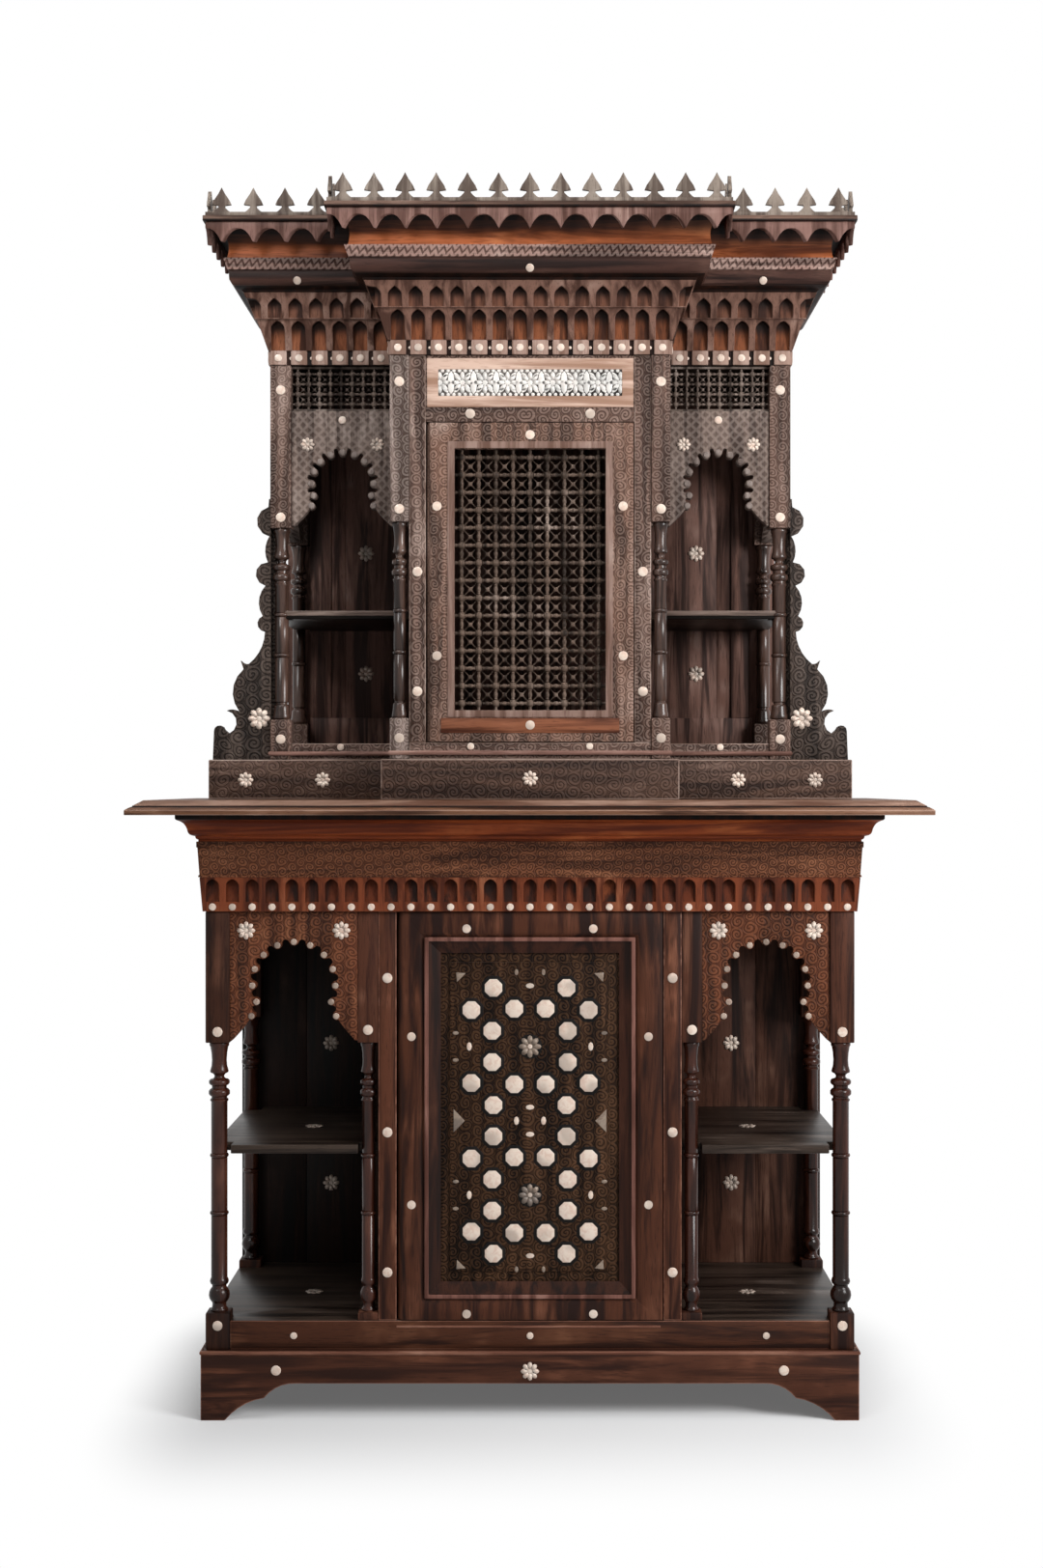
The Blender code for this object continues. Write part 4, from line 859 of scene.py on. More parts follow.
low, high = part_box("table_moulding")
cyma_profile = [(0.010, low.z), (0.010, low.z + 0.003)]
cyma_profile += bulge((0.010, low.z + 0.003), (0.0145, low.z + 0.008), 0.0012, 3)
cyma_profile += bulge((0.0145, low.z + 0.009), (0.026, low.z + 0.021), 0.0036)
cyma_profile += bulge((0.026, low.z + 0.021), (0.041, low.z + 0.036), -0.0030)
cyma_profile += [(0.041, low.z + 0.036), (0.043, low.z + 0.038), (0.043, high.z)]
cyma_profile += [(moulding_back, high.z), (moulding_back, low.z)]
cyma_finish = walnut("cyma_walnut", (84, 32, 13), (136, 62, 28), (172, 96, 52), run="x", dull=0.36)
cyma = run_moulding("cyma", cyma_profile, lower_plan)
set_in(cyma, [cyma_finish, painted_shade_finish], "amber_walnut", "table_moulding")
# The cyma's top fillet is painted dark as the shadow under the table top.
for face in cyma.data.polygons:
    face.material_index = 1 if face.center.z > low.z + 0.037 else 0
table_finish = walnut("table_walnut", (50, 29, 19), (104, 71, 52), (140, 106, 86), run="x", dull=0.40)
table_painted_highlight = walnut("table_painted_highlight_walnut", (86, 58, 45), (136, 107, 92), (166, 138, 122), run="x")
low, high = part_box("tabletop")
quirk_low = low.z + 0.0122
quirk = low.z + 0.0136
quirk_high = low.z + 0.0150
quirk_depth = 0.0018
bevel_reach = 0.026
table = planed("table_board", "tabletop", 0.0012)
bpy.ops.object.mode_set(mode="EDIT")
for level in (quirk_low, quirk, quirk_high):
    bpy.ops.mesh.select_all(action="SELECT")
    bpy.ops.mesh.bisect(plane_co=(0, 0, level), plane_no=(0, 0, 1))
bpy.ops.object.mode_set(mode="OBJECT")
for vert in table.data.vertices:
    if abs(vert.co.z - quirk) < 0.0001:
        if abs(vert.co.x) > high.x - bevel_reach:
            vert.co.x -= math.copysign(quirk_depth, vert.co.x)
        if vert.co.y < low.y + bevel_reach:
            vert.co.y += quirk_depth
# The slope above the quirk is painted pale as a highlight, and the quirk is painted dark as shade.
for face in table.data.polygons:
    if quirk_low < face.center.z < quirk_high:
        face.material_index = 2
    elif face.center.z > quirk_high and face.normal.z < 0.95:
        face.material_index = 1
set_in(table, [table_finish, table_painted_highlight, painted_shade_finish], "red_walnut", "tabletop")


# Lower door: a framed leaf hung on pins, its stiles and rails plain and dark with a worn bead round the
# opening, and a sunk panel of fine carving set with octagons, rosettes and slips of pearl.
def upright_sheet(name, half, foot, top, face):
    """A flat rectangle that faces the front, its mesh in work."""
    bpy.ops.mesh.primitive_plane_add(size=1, rotation=(math.radians(90), 0, 0))
    sheet = bpy.context.object
    sheet.name = name
    sheet.scale = (half * 2, top - foot, 1)
    sheet.location = (0, face, (foot + top) / 2)
    bpy.ops.object.transform_apply()
    work_mesh()
    return sheet


def flat_frame(name, half, foot, top, face, width, rise, rounding):
    """A mitred strip round a rectangle that faces the front, standing rise proud of face."""
    strip = upright_sheet(name, half, foot, top, face)
    bpy.ops.mesh.inset(thickness=width, depth=0)
    bpy.ops.mesh.delete(type="FACE")
    bpy.ops.mesh.select_all(action="SELECT")
    bpy.ops.mesh.extrude_region_move(TRANSFORM_OT_translate={"value": (0, -rise, 0)})
    face_outward()
    rub_edges(strip, rounding, 3)
    return strip


door_finish = walnut("door_walnut", (28, 12, 7), (70, 38, 24), (108, 68, 50), run="z")
set_planed("lower_door_leaf", "lower_door_frame", 0.0012, [door_finish], "red_walnut", "lower_door")
door_bead_finish = walnut("door_bead_walnut", (78, 48, 40), (118, 80, 70), (154, 118, 106), run="z")
low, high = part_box("lower_door_frame")
lower_bead = flat_frame(
    "lower_door_bead", half=0.1750, foot=0.1995, top=0.7990, face=low.y + 0.0005,
    width=0.0070, rise=0.0030, rounding=0.0016,
)
set_in(lower_bead, [door_bead_finish], "red_walnut", body="lower_door")
panel_finish = walnut(
    "panel_walnut", (12, 6, 3), (58, 39, 26), (92, 64, 45), run="z",
    carving=scrolls(0.020), cut=0.0010, shine=0.06,
)
set_planed("inlaid_panel", "lower_door_panel", 0.0010, [panel_finish], "dark_walnut", "lower_door")
panel_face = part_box("lower_door_panel")[0].y
slope_finish = walnut("door_slope_walnut", (22, 9, 5), (52, 27, 17), (80, 48, 34), run="z")
slope = upright_sheet("lower_door_slope", half=0.1680, foot=0.2065, top=0.7920, face=low.y + 0.0015)
bpy.ops.mesh.inset(thickness=0.0200, depth=-0.0072)
bpy.ops.mesh.delete(type="FACE")
bpy.ops.object.mode_set(mode="OBJECT")
set_in(slope, [slope_finish], "red_walnut", body="lower_door")
# A thin pale slip on the rail under the door paints the highlight along the rail's top arris.
highlight_sill_foot = (-0.2215, -0.1568, 0.1508)
highlight_sill_top = (0.2165, -0.1540, 0.1546)
set_in(board("door_sill_highlight", highlight_sill_foot, highlight_sill_top, 0.0008), [red_worn], "red_walnut")
field_half = 0.125
field_middle = 0.4930
lattice_step = 0.1235
octagon_ring = 0.068
octagon_radius = 0.0158
slip_reach = 0.0225
side_wedge_x = 0.1208
corner_wedge_x = 0.1170
corner_wedge_step = 0.1205
field_edge = 0.01
octagons = []
rosettes = []
slips = []
edge_slips = []
wedges = []
for i in range(-1, 2):
    for j in range(-2, 3):
        x = i * lattice_step
        z = field_middle + j * lattice_step
        if (i + j) % 2:
            for k in range(8):
                turn = math.radians(22.5 + 45 * k)
                px = x + octagon_ring * math.cos(turn)
                pz = z + octagon_ring * math.sin(turn)
                inside = abs(px) < field_half - field_edge
                if inside and abs(pz - field_middle) < 2 * field_half - field_edge:
                    octagons.append(spot(px, panel_face, pz))
            if i == 0:
                rosettes.append(spot(x, panel_face, z))
            elif j == 0:
                inward = Matrix.Rotation(math.radians(-90 * i), 4, "Y")
                wedge = inward @ Matrix.Diagonal((1.8, 1, 1, 1))
                wedges.append(spot(i * side_wedge_x, panel_face, z) @ wedge)
            else:
                outward = Matrix.Rotation(math.atan2(i, j / 2), 4, "Y")
                wedge = outward @ Matrix.Diagonal((0.95, 1, 0.65, 1))
                corner_z = field_middle + j * corner_wedge_step
                wedges.append(spot(i * corner_wedge_x, panel_face, corner_z) @ wedge)
        else:
            for dx, dz in ((slip_reach, 0), (-slip_reach, 0), (0, slip_reach), (0, -slip_reach)):
                across = abs(x + dx)
                up = abs(z + dz - field_middle)
                lying = Matrix.Diagonal((1.0, 1, 0.6, 1) if dz else (0.6, 1, 1.0, 1))
                if across < field_half and up < 2 * field_half:
                    at_edge = across > field_half - field_edge or up > 2 * field_half - field_edge
                    (edge_slips if at_edge else slips).append(spot(x + dx, panel_face, z + dz) @ lying)
mastic = walnut("mastic", (6, 4, 3), (14, 10, 8), (26, 20, 16), run="z")
eighth = Matrix.Rotation(math.radians(22.5), 4, "Y")


def petal_star(count, reach, girth, rise, eye):
    """A flower of pointed petals round an eye, facing the front."""
    petal = pearl_disc(1.0, rise, 8)
    slender = Matrix.Diagonal((reach * 0.40, 1, girth, 1))
    petal.data.transform(Matrix.Translation((reach * 0.62, 0, 0)) @ slender)
    turns = [Matrix.Rotation(math.radians(360 * k / count), 4, "Y") for k in range(count)]
    return joined("star", copies(petal, turns) + [pearl_disc(eye, rise, 12)])


inlay = copies(pearl_disc(octagon_radius, 0.0010, 8), [place @ eighth for place in octagons])
inlay += copies(pearl_disc(0.0042, 0.0016, 10), rosettes)
inlay += copies(pearl_disc(0.0072, 0.0008, 8), slips)
door_dot_rise = 0.0005
dot_places = [spot(x, low.y, z) for x in (-0.1965, 0.1965) for z in (0.634, 0.355)]
dot_places += [spot(x, low.y, z) for x in (-0.105, 0.105) for z in (0.8130, 0.1740)]
inlay += copies(pearl_disc(0.0072, door_dot_rise, 16), dot_places)
set_in(joined("lower_door_inlay", inlay), [pearl], "pearl", body="lower_door")
worn_pearl = nacre("worn_pearl", (134, 118, 104), (112, 94, 80), (94, 82, 74))
dim_inlay = copies(petal_star(8, 0.0185, 0.0046, 0.0010, 0.0050), rosettes)
dim_inlay += copies(pearl_disc(0.0124, 0.0008, 3), wedges)
dim_inlay += copies(pearl_disc(0.0052, 0.0008, 8), edge_slips)
set_in(joined("lower_door_worn_inlay", dim_inlay), [worn_pearl], "pearl", body="lower_door")
seats = copies(pearl_disc(octagon_radius + 0.0058, 0.0004, 8), [place @ eighth for place in octagons])
seats += copies(pearl_disc(0.0205, 0.0004, 16), rosettes)
set_in(joined("lower_door_seats", seats), [mastic], "dark_walnut", body="lower_door")


# Upper plinth: a low box that the upper stage stands on, breaking forward in the middle. Walnut boards
# with shallow scrollwork, pinned to the table top.
upper_half = 0.4478
side_front = -0.030
bay_half = 0.2358
bay_front = -0.115


def upper_plan(out):
    """Corners of the upper stage in plan, that far out from its posts, from back left to back right."""
    half = upper_half + out
    side = side_front - out
    step = bay_half + out
    front = bay_front - out
    corners = [(-half, back_line), (-half, side), (-step, side), (-step, front)]
    return [Vector(c) for c in corners + [(-x, y) for x, y in reversed(corners)]]


upper_plinth_finish = walnut(
    "upper_plinth_walnut", (34, 22, 17), (74, 54, 44), (112, 90, 80), run="x",
    carving=scrolls(0.022), shade=0.34,
)
set_planed("upper_plinth_box", "upper_plinth", 0.0020, [upper_plinth_finish, grey_worn], "grey_walnut")
step_bead_finish = walnut("step_bead_walnut", (84, 58, 50), (126, 94, 84), (158, 130, 118), run="x")
step_bead_profile = (
    (-0.0060, 1.1018), (0.0012, 1.1018), (0.0026, 1.1034), (0.0030, 1.1054),
    (0.0026, 1.1074), (0.0012, 1.1090), (-0.0060, 1.1090),
)
set_in(run_moulding("step_bead", step_bead_profile, upper_plan), [step_bead_finish], "grey_walnut")


# Side brackets: fretted scrolls of thin walnut that stand on the upper plinth against the outer posts.
# Sawn out and carved deep on the face, and held by a tongue behind them that is glued to the post.
bracket_finish = walnut(
    "bracket_walnut", (24, 18, 15), (62, 51, 45), (108, 95, 87), run="z",
    carving=scrolls(0.024), cut=0.002, shade=0.45,
)
tongue_reach = (0.4380, 0.4500)
for side, sign in (("left", -1), ("right", 1)):
    node = f"side_bracket_{side}"
    low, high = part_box(node)
    left, right = sorted(sign * reach for reach in tongue_reach)
    tongue = board(
        "tongue", (left, low.y + 0.011, upper_block), (right, high.y - 0.002, high.z - 0.006), 0.0006
    )
    fret = joined(f"{node}_fretted", [planed(f"{node}_fretted", node, 0.0022), tongue])
    set_in(fret, [bracket_finish], "grey_walnut", node)


# Small lattices and the lattice of the upper door: turned knots on a square grid, joined by ringed
# spindles, with a small cross in every cell. Walnut, glued into the frame, dark and dusty.
def knot(radius):
    bpy.ops.mesh.primitive_uv_sphere_add(segments=8, ring_count=6, radius=radius)
    ball = bpy.context.object
    work_mesh()
    bpy.ops.transform.resize(value=(1.0, 0.9, 1.0), center_override=(0, 0, 0))
    bpy.ops.object.mode_set(mode="OBJECT")
    smooth(ball, 70)
    return ball


def spindle(length, shape, sides):
    """A turned stick along x about its middle, of (share of half length, radius) points."""
    points = sorted([(s, r) for s, r in shape] + [(-s, r) for s, r in shape if s > 0])
    stick = lathe([(share * length / 2, radius) for share, radius in points], sides)
    stick.data.transform(Matrix.Rotation(math.radians(90), 4, "Y"))
    smooth(stick, 60)
    return stick


bobbin = ((1.0, 0.0022), (0.62, 0.0022), (0.50, 0.0036), (0.36, 0.0024), (0.14, 0.0038), (0.0, 0.0040))
sprig = ((1.0, 0.0009), (0.30, 0.0011), (0.22, 0.0026), (0.0, 0.0030))
stub = ((1.0, 0.0024), (0.3, 0.0036), (0.0, 0.0024))
full_cell = 0.029
cross_set_back = 0.004



def lattice(name, left, right, foot, top, face, columns, rows, knot_radius):
    """Knots, spindles and crosses between four edges, in an upright plane."""
    dx = (right - left) / columns
    dz = (top - foot) / rows
    girth = min(1.0, dx / full_cell)
    upright = Matrix.Rotation(math.radians(90), 4, "Y")
    thin = Matrix.Diagonal((1, girth, girth, 1))
    xs = [left + (i + 0.5) * dx for i in range(columns)]
    zs = [foot + (j + 0.5) * dz for j in range(rows)]
    knots = [Matrix.Translation((x, face, z)) for x in xs for z in zs]
    lying = [Matrix.Translation((x + dx / 2, face, z)) @ thin for x in xs[:-1] for z in zs]
    standing = [Matrix.Translation((x, face, z + dz / 2)) @ upright @ thin for x in xs for z in zs[:-1]]
    sides = (left + dx / 4, right - dx / 4)
    ends = (foot + dz / 4, top - dz / 4)
    lying_ends = [Matrix.Translation((x, face, z)) @ thin for x in sides for z in zs]
    standing_ends = [Matrix.Translation((x, face, z)) @ upright @ thin for x in xs for z in ends]
    crosses = []
    for x in xs[:-1]:
        for z in zs[:-1]:
            for turn in (45, -45):
                tilt = Matrix.Rotation(math.radians(turn), 4, "Y")
                middle = (x + dx / 2, face + cross_set_back, z + dz / 2)
                crosses.append(Matrix.Translation(middle) @ tilt @ thin)
    pieces = copies(knot(knot_radius), knots)
    pieces += copies(spindle(dx, bobbin, 6), lying) + copies(spindle(dz, bobbin, 6), standing)
    pieces += copies(spindle(dx / 2, stub, 6), lying_ends) + copies(spindle(dz / 2, stub, 6), standing_ends)
    pieces += copies(spindle(dx * 1.05, sprig, 5), crosses)
    return joined(name, pieces)


lattice_finish = walnut("lattice_walnut", (34, 26, 21), (90, 74, 64), (152, 136, 126), run="z")
small_lattice_finish = walnut("small_lattice_walnut", (36, 28, 24), (104, 90, 82), (160, 146, 138), run="z")
for side in ("left", "right"):
    node = f"upper_lattice_{side}"
    low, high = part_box(node)
    face = (low.y + high.y) / 2
    edge = 0.004
    screen = lattice(f"{node}_turned", low.x, high.x, low.z + edge, high.z - edge, face, 11, 4, 0.0050)
    rails = [
        board("rail", (low.x, low.y, low.z), (high.x, high.y, low.z + edge), 0.0008),
        board("rail", (low.x, low.y, high.z - edge), (high.x, high.y, high.z), 0.0008),
    ]
    set_in(joined(f"{node}_turned", [screen] + rails), [small_lattice_finish], "grey_walnut", node)


# Upper door: a framed walnut leaf hung on pins like the lower one, its stiles carved with small scrolls
# outside a plain pale bead, and filled with the turned lattice.
stile_middle = 0.1565
upper_door_finish = walnut(
    "upper_door_walnut", (46, 30, 23), (114, 84, 70), (162, 138, 126), run="z",
    carving=scrolls(0.018, stile_middle), shade=0.46,
)
upper_bead_finish = walnut("upper_bead_walnut", (88, 64, 54), (128, 104, 94), (160, 140, 130), run="z")
set_planed("upper_door_leaf", "upper_door_frame", 0.0012, [upper_door_finish], "grey_walnut", "upper_door")
low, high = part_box("upper_door_frame")
upper_bead = flat_frame(
    "upper_door_bead", half=0.1390, foot=1.1650, top=1.6290, face=low.y + 0.0005,
    width=0.0120, rise=0.0020, rounding=0.0016,
)
set_in(upper_bead, [upper_bead_finish], "grey_walnut", body="upper_door")
slip_rail_finish = walnut("slip_rail_walnut", (58, 27, 15), (124, 76, 53), (156, 106, 82), run="x")
slip_half = 0.1500
slip_front = low.y - 0.0012
slip_foot = (-slip_half, slip_front, 1.1385)
slip_top = (slip_half, low.y + 0.0020, 1.1640)
slip_rail = board("bottom_slip", slip_foot, slip_top, 0.0008)
set_in(slip_rail, [slip_rail_finish], "grey_walnut", body="upper_door")
plate_low, plate_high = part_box("upper_door_lattice")
door_screen = lattice(
    "door_lattice", left=-0.1300, right=0.1300, foot=1.1740, top=1.6190,
    face=(plate_low.y + plate_high.y) / 2, columns=9, rows=15, knot_radius=0.0066,
)
set_in(door_screen, [lattice_finish], "dark_walnut", "upper_door_lattice", body="upper_door")
dot_places = [spot(x, low.y, z) for x in (-stile_middle, stile_middle) for z in (1.520, 1.2686)]
dot_places += [spot(0, low.y, 1.640), spot(0, slip_front, 1.152)]
upper_door_dots = joined("upper_door_dots", copies(pearl_disc(0.0078, door_dot_rise, 16), dot_places))
set_in(upper_door_dots, [pearl], "pearl", body="upper_door")


# Header: the walnut board over the upper door, housed between the inner posts, with a cartouche in a pale
# frame. The cartouche holds a plain band of pearl flowers and lozenges glued to a grey ground.
header_finish = walnut("header_walnut", *grey_tones, run="x", carving=scrolls(0.020))
cartouche_frame_finish = walnut(
    "cartouche_walnut", (140, 108, 90), (188, 160, 144), (206, 184, 168), run="x"
)
set_planed("header_board", "upper_header", 0.0010, [header_finish], "grey_walnut")
low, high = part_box("upper_header")
surround = flat_frame(
    "cartouche_frame", half=0.1735, foot=1.6865, top=1.7690, face=low.y + 0.0010,
    width=0.0190, rise=0.0022, rounding=0.0014,
)
set_in(surround, [cartouche_frame_finish], "grey_walnut")
ground_half = 0.1560
ground_face = low.y + 0.0005
ground_foot = (-ground_half, ground_face, 1.7040)
ground_top = (ground_half, low.y + 0.0060, 1.7520)
ground_finish = walnut("cartouche_ground", (40, 36, 34), (92, 86, 82), (140, 134, 128), run="x")
set_in(board("cartouche_ground", ground_foot, ground_top, 0.0004), [ground_finish], "dark_walnut")
cartouche_pearl = nacre("cartouche_pearl", (212, 208, 202), (202, 194, 188), (184, 182, 178))
flower_step = 0.0380
flower_line = 1.7280
speck_rise = 0.0200
leaf_rise = 0.0125
slim = Matrix.Diagonal((0.36, 1, 1.20, 1))
leaf_shape = Matrix.Diagonal((1.9, 1, 0.8, 1))
flowers = [spot(i * flower_step, ground_face, flower_line, "front", 1.10) for i in range(-4, 5)]
lozenges = [spot((i + 0.5) * flower_step, ground_face, flower_line) @ slim for i in range(-4, 4)]
specks = []
for i in range(-16, 16):
    for rise in (-speck_rise, speck_rise):
        specks.append(spot((i + 0.5) * flower_step / 4, ground_face, flower_line + rise, "front", 0.9))
leaves = []
for i in range(-8, 8):
    lean = 40 - 80 * (i % 2)
    for rise, turn in ((-leaf_rise, lean), (leaf_rise, -lean)):
        tilt = Matrix.Rotation(math.radians(turn), 4, "Y")
        leaves.append(spot((i + 0.5) * flower_step / 2, ground_face, flower_line + rise) @ tilt @ leaf_shape)
band_pieces = copies(petal_star(8, 0.0165, 0.0036, 0.0008, 0.0042), flowers)
band_pieces += copies(pearl_disc(0.0165, 0.0008, 8), lozenges)
band_pieces += copies(pearl_disc(0.0034, 0.0008, 8), specks + leaves)
set_in(joined("cartouche_inlay", band_pieces), [cartouche_pearl], "pearl")


# Stalactite frieze: two tiers of hollowed niches, the lower set half a step aside, over a band of small
# blocks with a pearl each. Walnut boards leaning out and mitred round the breakfront.
def banded_block(height, depth, slot, pitch=block_pitch):
    """A block facing the front with a slot at each side, the slot painted dark as shade."""
    slot_depth = 0.004
    block = board("block", (-pitch / 2 + slot, 0, 0.0), (pitch / 2 - slot, depth, height), 0.0012)
    ground = board("block", (-pitch / 2, slot_depth, 0.0), (pitch / 2, depth, height), 0.0)
    whole = joined("block", [block, ground])
    # Faces out at the sides take the second finish, the painted shade.
    for face in whole.data.polygons:
        reach = max(abs(whole.data.vertices[v].co.x) for v in face.vertices)
        face.material_index = 1 if reach > pitch / 2 - slot / 2 else 0
    return whole


tier_finish = walnut("tier_walnut", (62, 40, 32), (112, 82, 70), (154, 128, 116), run="z")
# The niches are painted dark towards their crowns, as shade.
tier_hollow_finish = walnut(
    "tier_niche_walnut", (46, 22, 12), (116, 66, 41), (144, 92, 66), run="z", painted_shade_levels=(1.8180, 1.8380)
)
upper_hollow_finish = walnut(
    "upper_tier_niche_walnut", (44, 24, 17), (100, 64, 49), (134, 98, 82), run="z", painted_shade_levels=(1.8580, 1.8760)
)
tier_rim_finish = walnut("tier_rim_walnut", (112, 86, 74), (150, 124, 112), (180, 158, 148), run="z")
tier_finishes = [tier_finish, tier_hollow_finish, tier_rim_finish, painted_shade_finish]
upper_tier_finishes = [tier_finish, upper_hollow_finish, tier_rim_finish, painted_shade_finish]
low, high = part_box("stalactite_frieze")
band_top = 1.798
tier_top = 1.848
tier_depth = 0.0160
tier_pitch = 0.0345
lower_niche = niche_block(
    height=0.050, depth=tier_depth, mouth=0.0220, crown=0.0480, sill=0.0010, hollow=0.0140,
    point=0.002, at_edges=False,
)
lower_tier = along(
    "lower_tier", lower_niche, tier_finishes, upper_plan, 0.003, 0.020, band_top, tier_top, tier_pitch
)
set_in(lower_tier, tier_finishes, "grey_walnut", "stalactite_frieze")
upper_niche = niche_block(
    height=0.042, depth=tier_depth, mouth=0.0220, crown=0.0330, sill=0.0020, hollow=0.0130,
    point=0.003, at_edges=True,
)
upper_tier = along(
    "upper_tier", upper_niche, upper_tier_finishes, upper_plan, 0.024, 0.040, tier_top, high.z, tier_pitch
)
set_in(upper_tier, upper_tier_finishes, "grey_walnut", "stalactite_frieze")
band_finishes = [tier_rim_finish, painted_shade_finish]
band_block = banded_block(0.024, 0.020, 0.0035)
dot_band = along(
    "dot_band", band_block, band_finishes, upper_plan, 0.003, 0.004, low.z, band_top, tier_pitch
)
set_in(dot_band, band_finishes, "grey_walnut", "stalactite_frieze")
core_back = -0.030
core_profile = (
    (-0.0165, low.z), (-0.0165, band_top), (-0.0125, band_top), (0.0045, tier_top), (0.0085, tier_top),
    (0.0245, high.z), (core_back, high.z), (core_back, low.z),
)
core = run_moulding("frieze_core", core_profile, upper_plan)
set_in(core, [tier_hollow_finish], "grey_walnut", "stalactite_frieze")


# Cornice: a bulging roll with a zigzag cut along its top, a cove, and the thin top board. Run walnut
# mouldings mitred round the breakfront, the cove warm amber.
def zigzag(size):
    """A chiselled zigzag."""

    def carving(point):
        x, y, z = (point.axis(i) for i in range(3))
        wave = x.maths("PINGPONG", (x + y) / size, 0.5)
        line = z / size + wave * 1.4
        return line.maths("PINGPONG", line, 0.5).step(0.06, 0.30)

    return carving


low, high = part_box("cornice_moulding")
roll_profile = [(0.0395, low.z), (0.0420, low.z + 0.002)]
roll_profile += bulge((0.0425, low.z + 0.003), (0.0610, low.z + 0.031), 0.0085, 10)
roll_profile += [(0.0610, low.z + 0.031), (0.0612, low.z + 0.0325), (0.0640, low.z + 0.0330)]
roll_profile += [(0.0695, low.z + 0.0490), (0.0700, low.z + 0.0510), (0.0670, low.z + 0.0515)]
roll_profile += bulge((0.0640, low.z + 0.0520), (0.0720, low.z + 0.0980), -0.0060)
roll_profile += [(0.0720, low.z + 0.0980), (0.0740, high.z), (moulding_back, high.z), (moulding_back, low.z)]
roll_finish = walnut("roll_walnut", (25, 14, 11), (58, 37, 31), (90, 65, 56), run="x", dull=0.36)
zig_finish = walnut(
    "zigzag_walnut", (44, 27, 22), (136, 104, 94), (184, 160, 150), run="x", carving=zigzag(0.013), cut=0.002
)
# The cove is painted dark towards its top, as the shade under the top board and valance.
cove_finish = walnut(
    "cove_walnut", (76, 35, 16), (158, 87, 50), (186, 120, 80), run="x", dull=0.36,
    painted_shade_levels=(low.z + 0.0560, low.z + 0.0860),
)
cornice = run_moulding("cornice_roll", roll_profile, upper_plan)
roll_finishes = [roll_finish, zig_finish, cove_finish, painted_shade_finish]
set_in(cornice, roll_finishes, "amber_walnut", "cornice_moulding")
shade_painted_above = low.z + 0.0900
cove_foot = low.z + 0.0512
zigzag_foot = low.z + 0.0322
shade_painted_below = low.z + 0.0085
# Faces above the cove and at the roll's foot take the painted shade.
for face in cornice.data.polygons:
    if face.center.z > shade_painted_above or face.center.z < shade_painted_below:
        face.material_index = 3
    elif face.center.z > cove_foot:
        face.material_index = 2
    elif face.center.z > zigzag_foot:
        face.material_index = 1
top_finish = walnut("top_board_walnut", (50, 35, 28), (100, 77, 66), (140, 116, 103), run="x")
top_board = planed("cornice_board", "cornice_top", 0.0015)
low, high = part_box("cornice_top")
shadow_line = low.z + 0.0034
work_mesh()
bpy.ops.mesh.bisect(plane_co=(0, 0, shadow_line), plane_no=(0, 0, 1))
bpy.ops.object.mode_set(mode="OBJECT")
# The strip below the shadow line is painted dark as shade.
for face in top_board.data.polygons:
    face.material_index = 1 if face.center.z < shadow_line else 0
set_in(top_board, [top_finish, painted_shade_finish], "grey_walnut", "cornice_top")


# Valance and cresting: a fretted fringe of teeth hung under the top board's edge, and a rail of spade
# finials standing on it over the teeth. Thin walnut, sawn out, glued and pinned, and worn pale.
fret_finish = walnut("fret_walnut", (72, 48, 41), (122, 92, 84), (156, 130, 120), run="z")
crest_finish = walnut("crest_walnut", (74, 62, 55), (126, 114, 104), (158, 148, 138), run="z")
crest_edge_finish = walnut("crest_edge_walnut", (40, 31, 26), (74, 62, 54), (104, 92, 84), run="z")
set_planed("valance_fret", "valance", 0.0010, [fret_finish], "amber_walnut")
set_planed("crest_fret", "cresting", 0.0022, [crest_finish, crest_edge_finish], "grey_walnut")


# Pearl dots and stars: rounds and flowers of pearl let into posts, rails, spandrels, plinths, backs,
# shelves and friezes. Each is sawn from shell, glued into a shallow seat and left a little proud.
rail_front = -0.156
plinth_front = -0.167
side_rail_front = -0.026
bay_rail_front = -0.111
upper_plinth_front = -0.044
upper_bay_plinth_front = -0.129
bracket_front = -0.021
back_face = 0.255
shelf_star_y = 0.036
dots = []
for x, face, levels, size in (
    (0.5178, lower_front, (0.642, 0.155), 1.0),
    (0.2688, rail_front, (0.645,), 1.0),
    (0.2365, rail_front, (0.731, 0.475, 0.2425), 1.0),
    (0.392, rail_front, (0.1375,), 0.70),
    (0.420, plinth_front, (0.083,), 1.0),
    (0.4298, side_front, (1.731, 1.512, 1.130), 1.0),
    (0.2198, bay_front, (1.729, 1.515, 1.130), 1.0),
    (0.1895, bay_rail_front, (1.410, 1.2086), 1.0),
    (0.101, bay_rail_front, (1.6755,), 1.0),
    (arches["upper"]["middle"], side_rail_front, (1.680,), 0.8),
    (0.100, bay_rail_front, (1.1163,), 0.72),
    (0.327, side_rail_front, (1.1163,), 0.72),
):
    dots += [spot(sign * x, face, z, "front", size) for sign in (-1, 1) for z in levels]
dots.append(spot(0.0, rail_front, 0.1375, "front", 0.70))
on_roll = Matrix.Rotation(math.radians(30), 4, "X")
for x, y in ((0.0, -0.1757), (-0.394, -0.0907), (0.394, -0.0907)):
    dots.append(spot(x, y, 1.9045, "front", 0.8) @ on_roll)
inlay = copies(pearl_disc(0.0084, 0.0016, 16), dots)


def row_of_dots(plan, facings, out, z, pitch, size, at_joints=False):
    """Places of the dots round a plan, one in the middle of every block or one at every joint."""
    places = []
    corners = plan(out)
    blocks = plan(lean_foot)
    for i, facing in enumerate(facings):
        count = max(1, round((blocks[i + 1] - blocks[i]).length / pitch))
        for k in range(1 if at_joints else 0, count):
            share = (k if at_joints else k + 0.5) / count
            flat = corners[i].lerp(corners[i + 1], share)
            places.append(spot(flat.x, flat.y, z, facing, size))
    return places


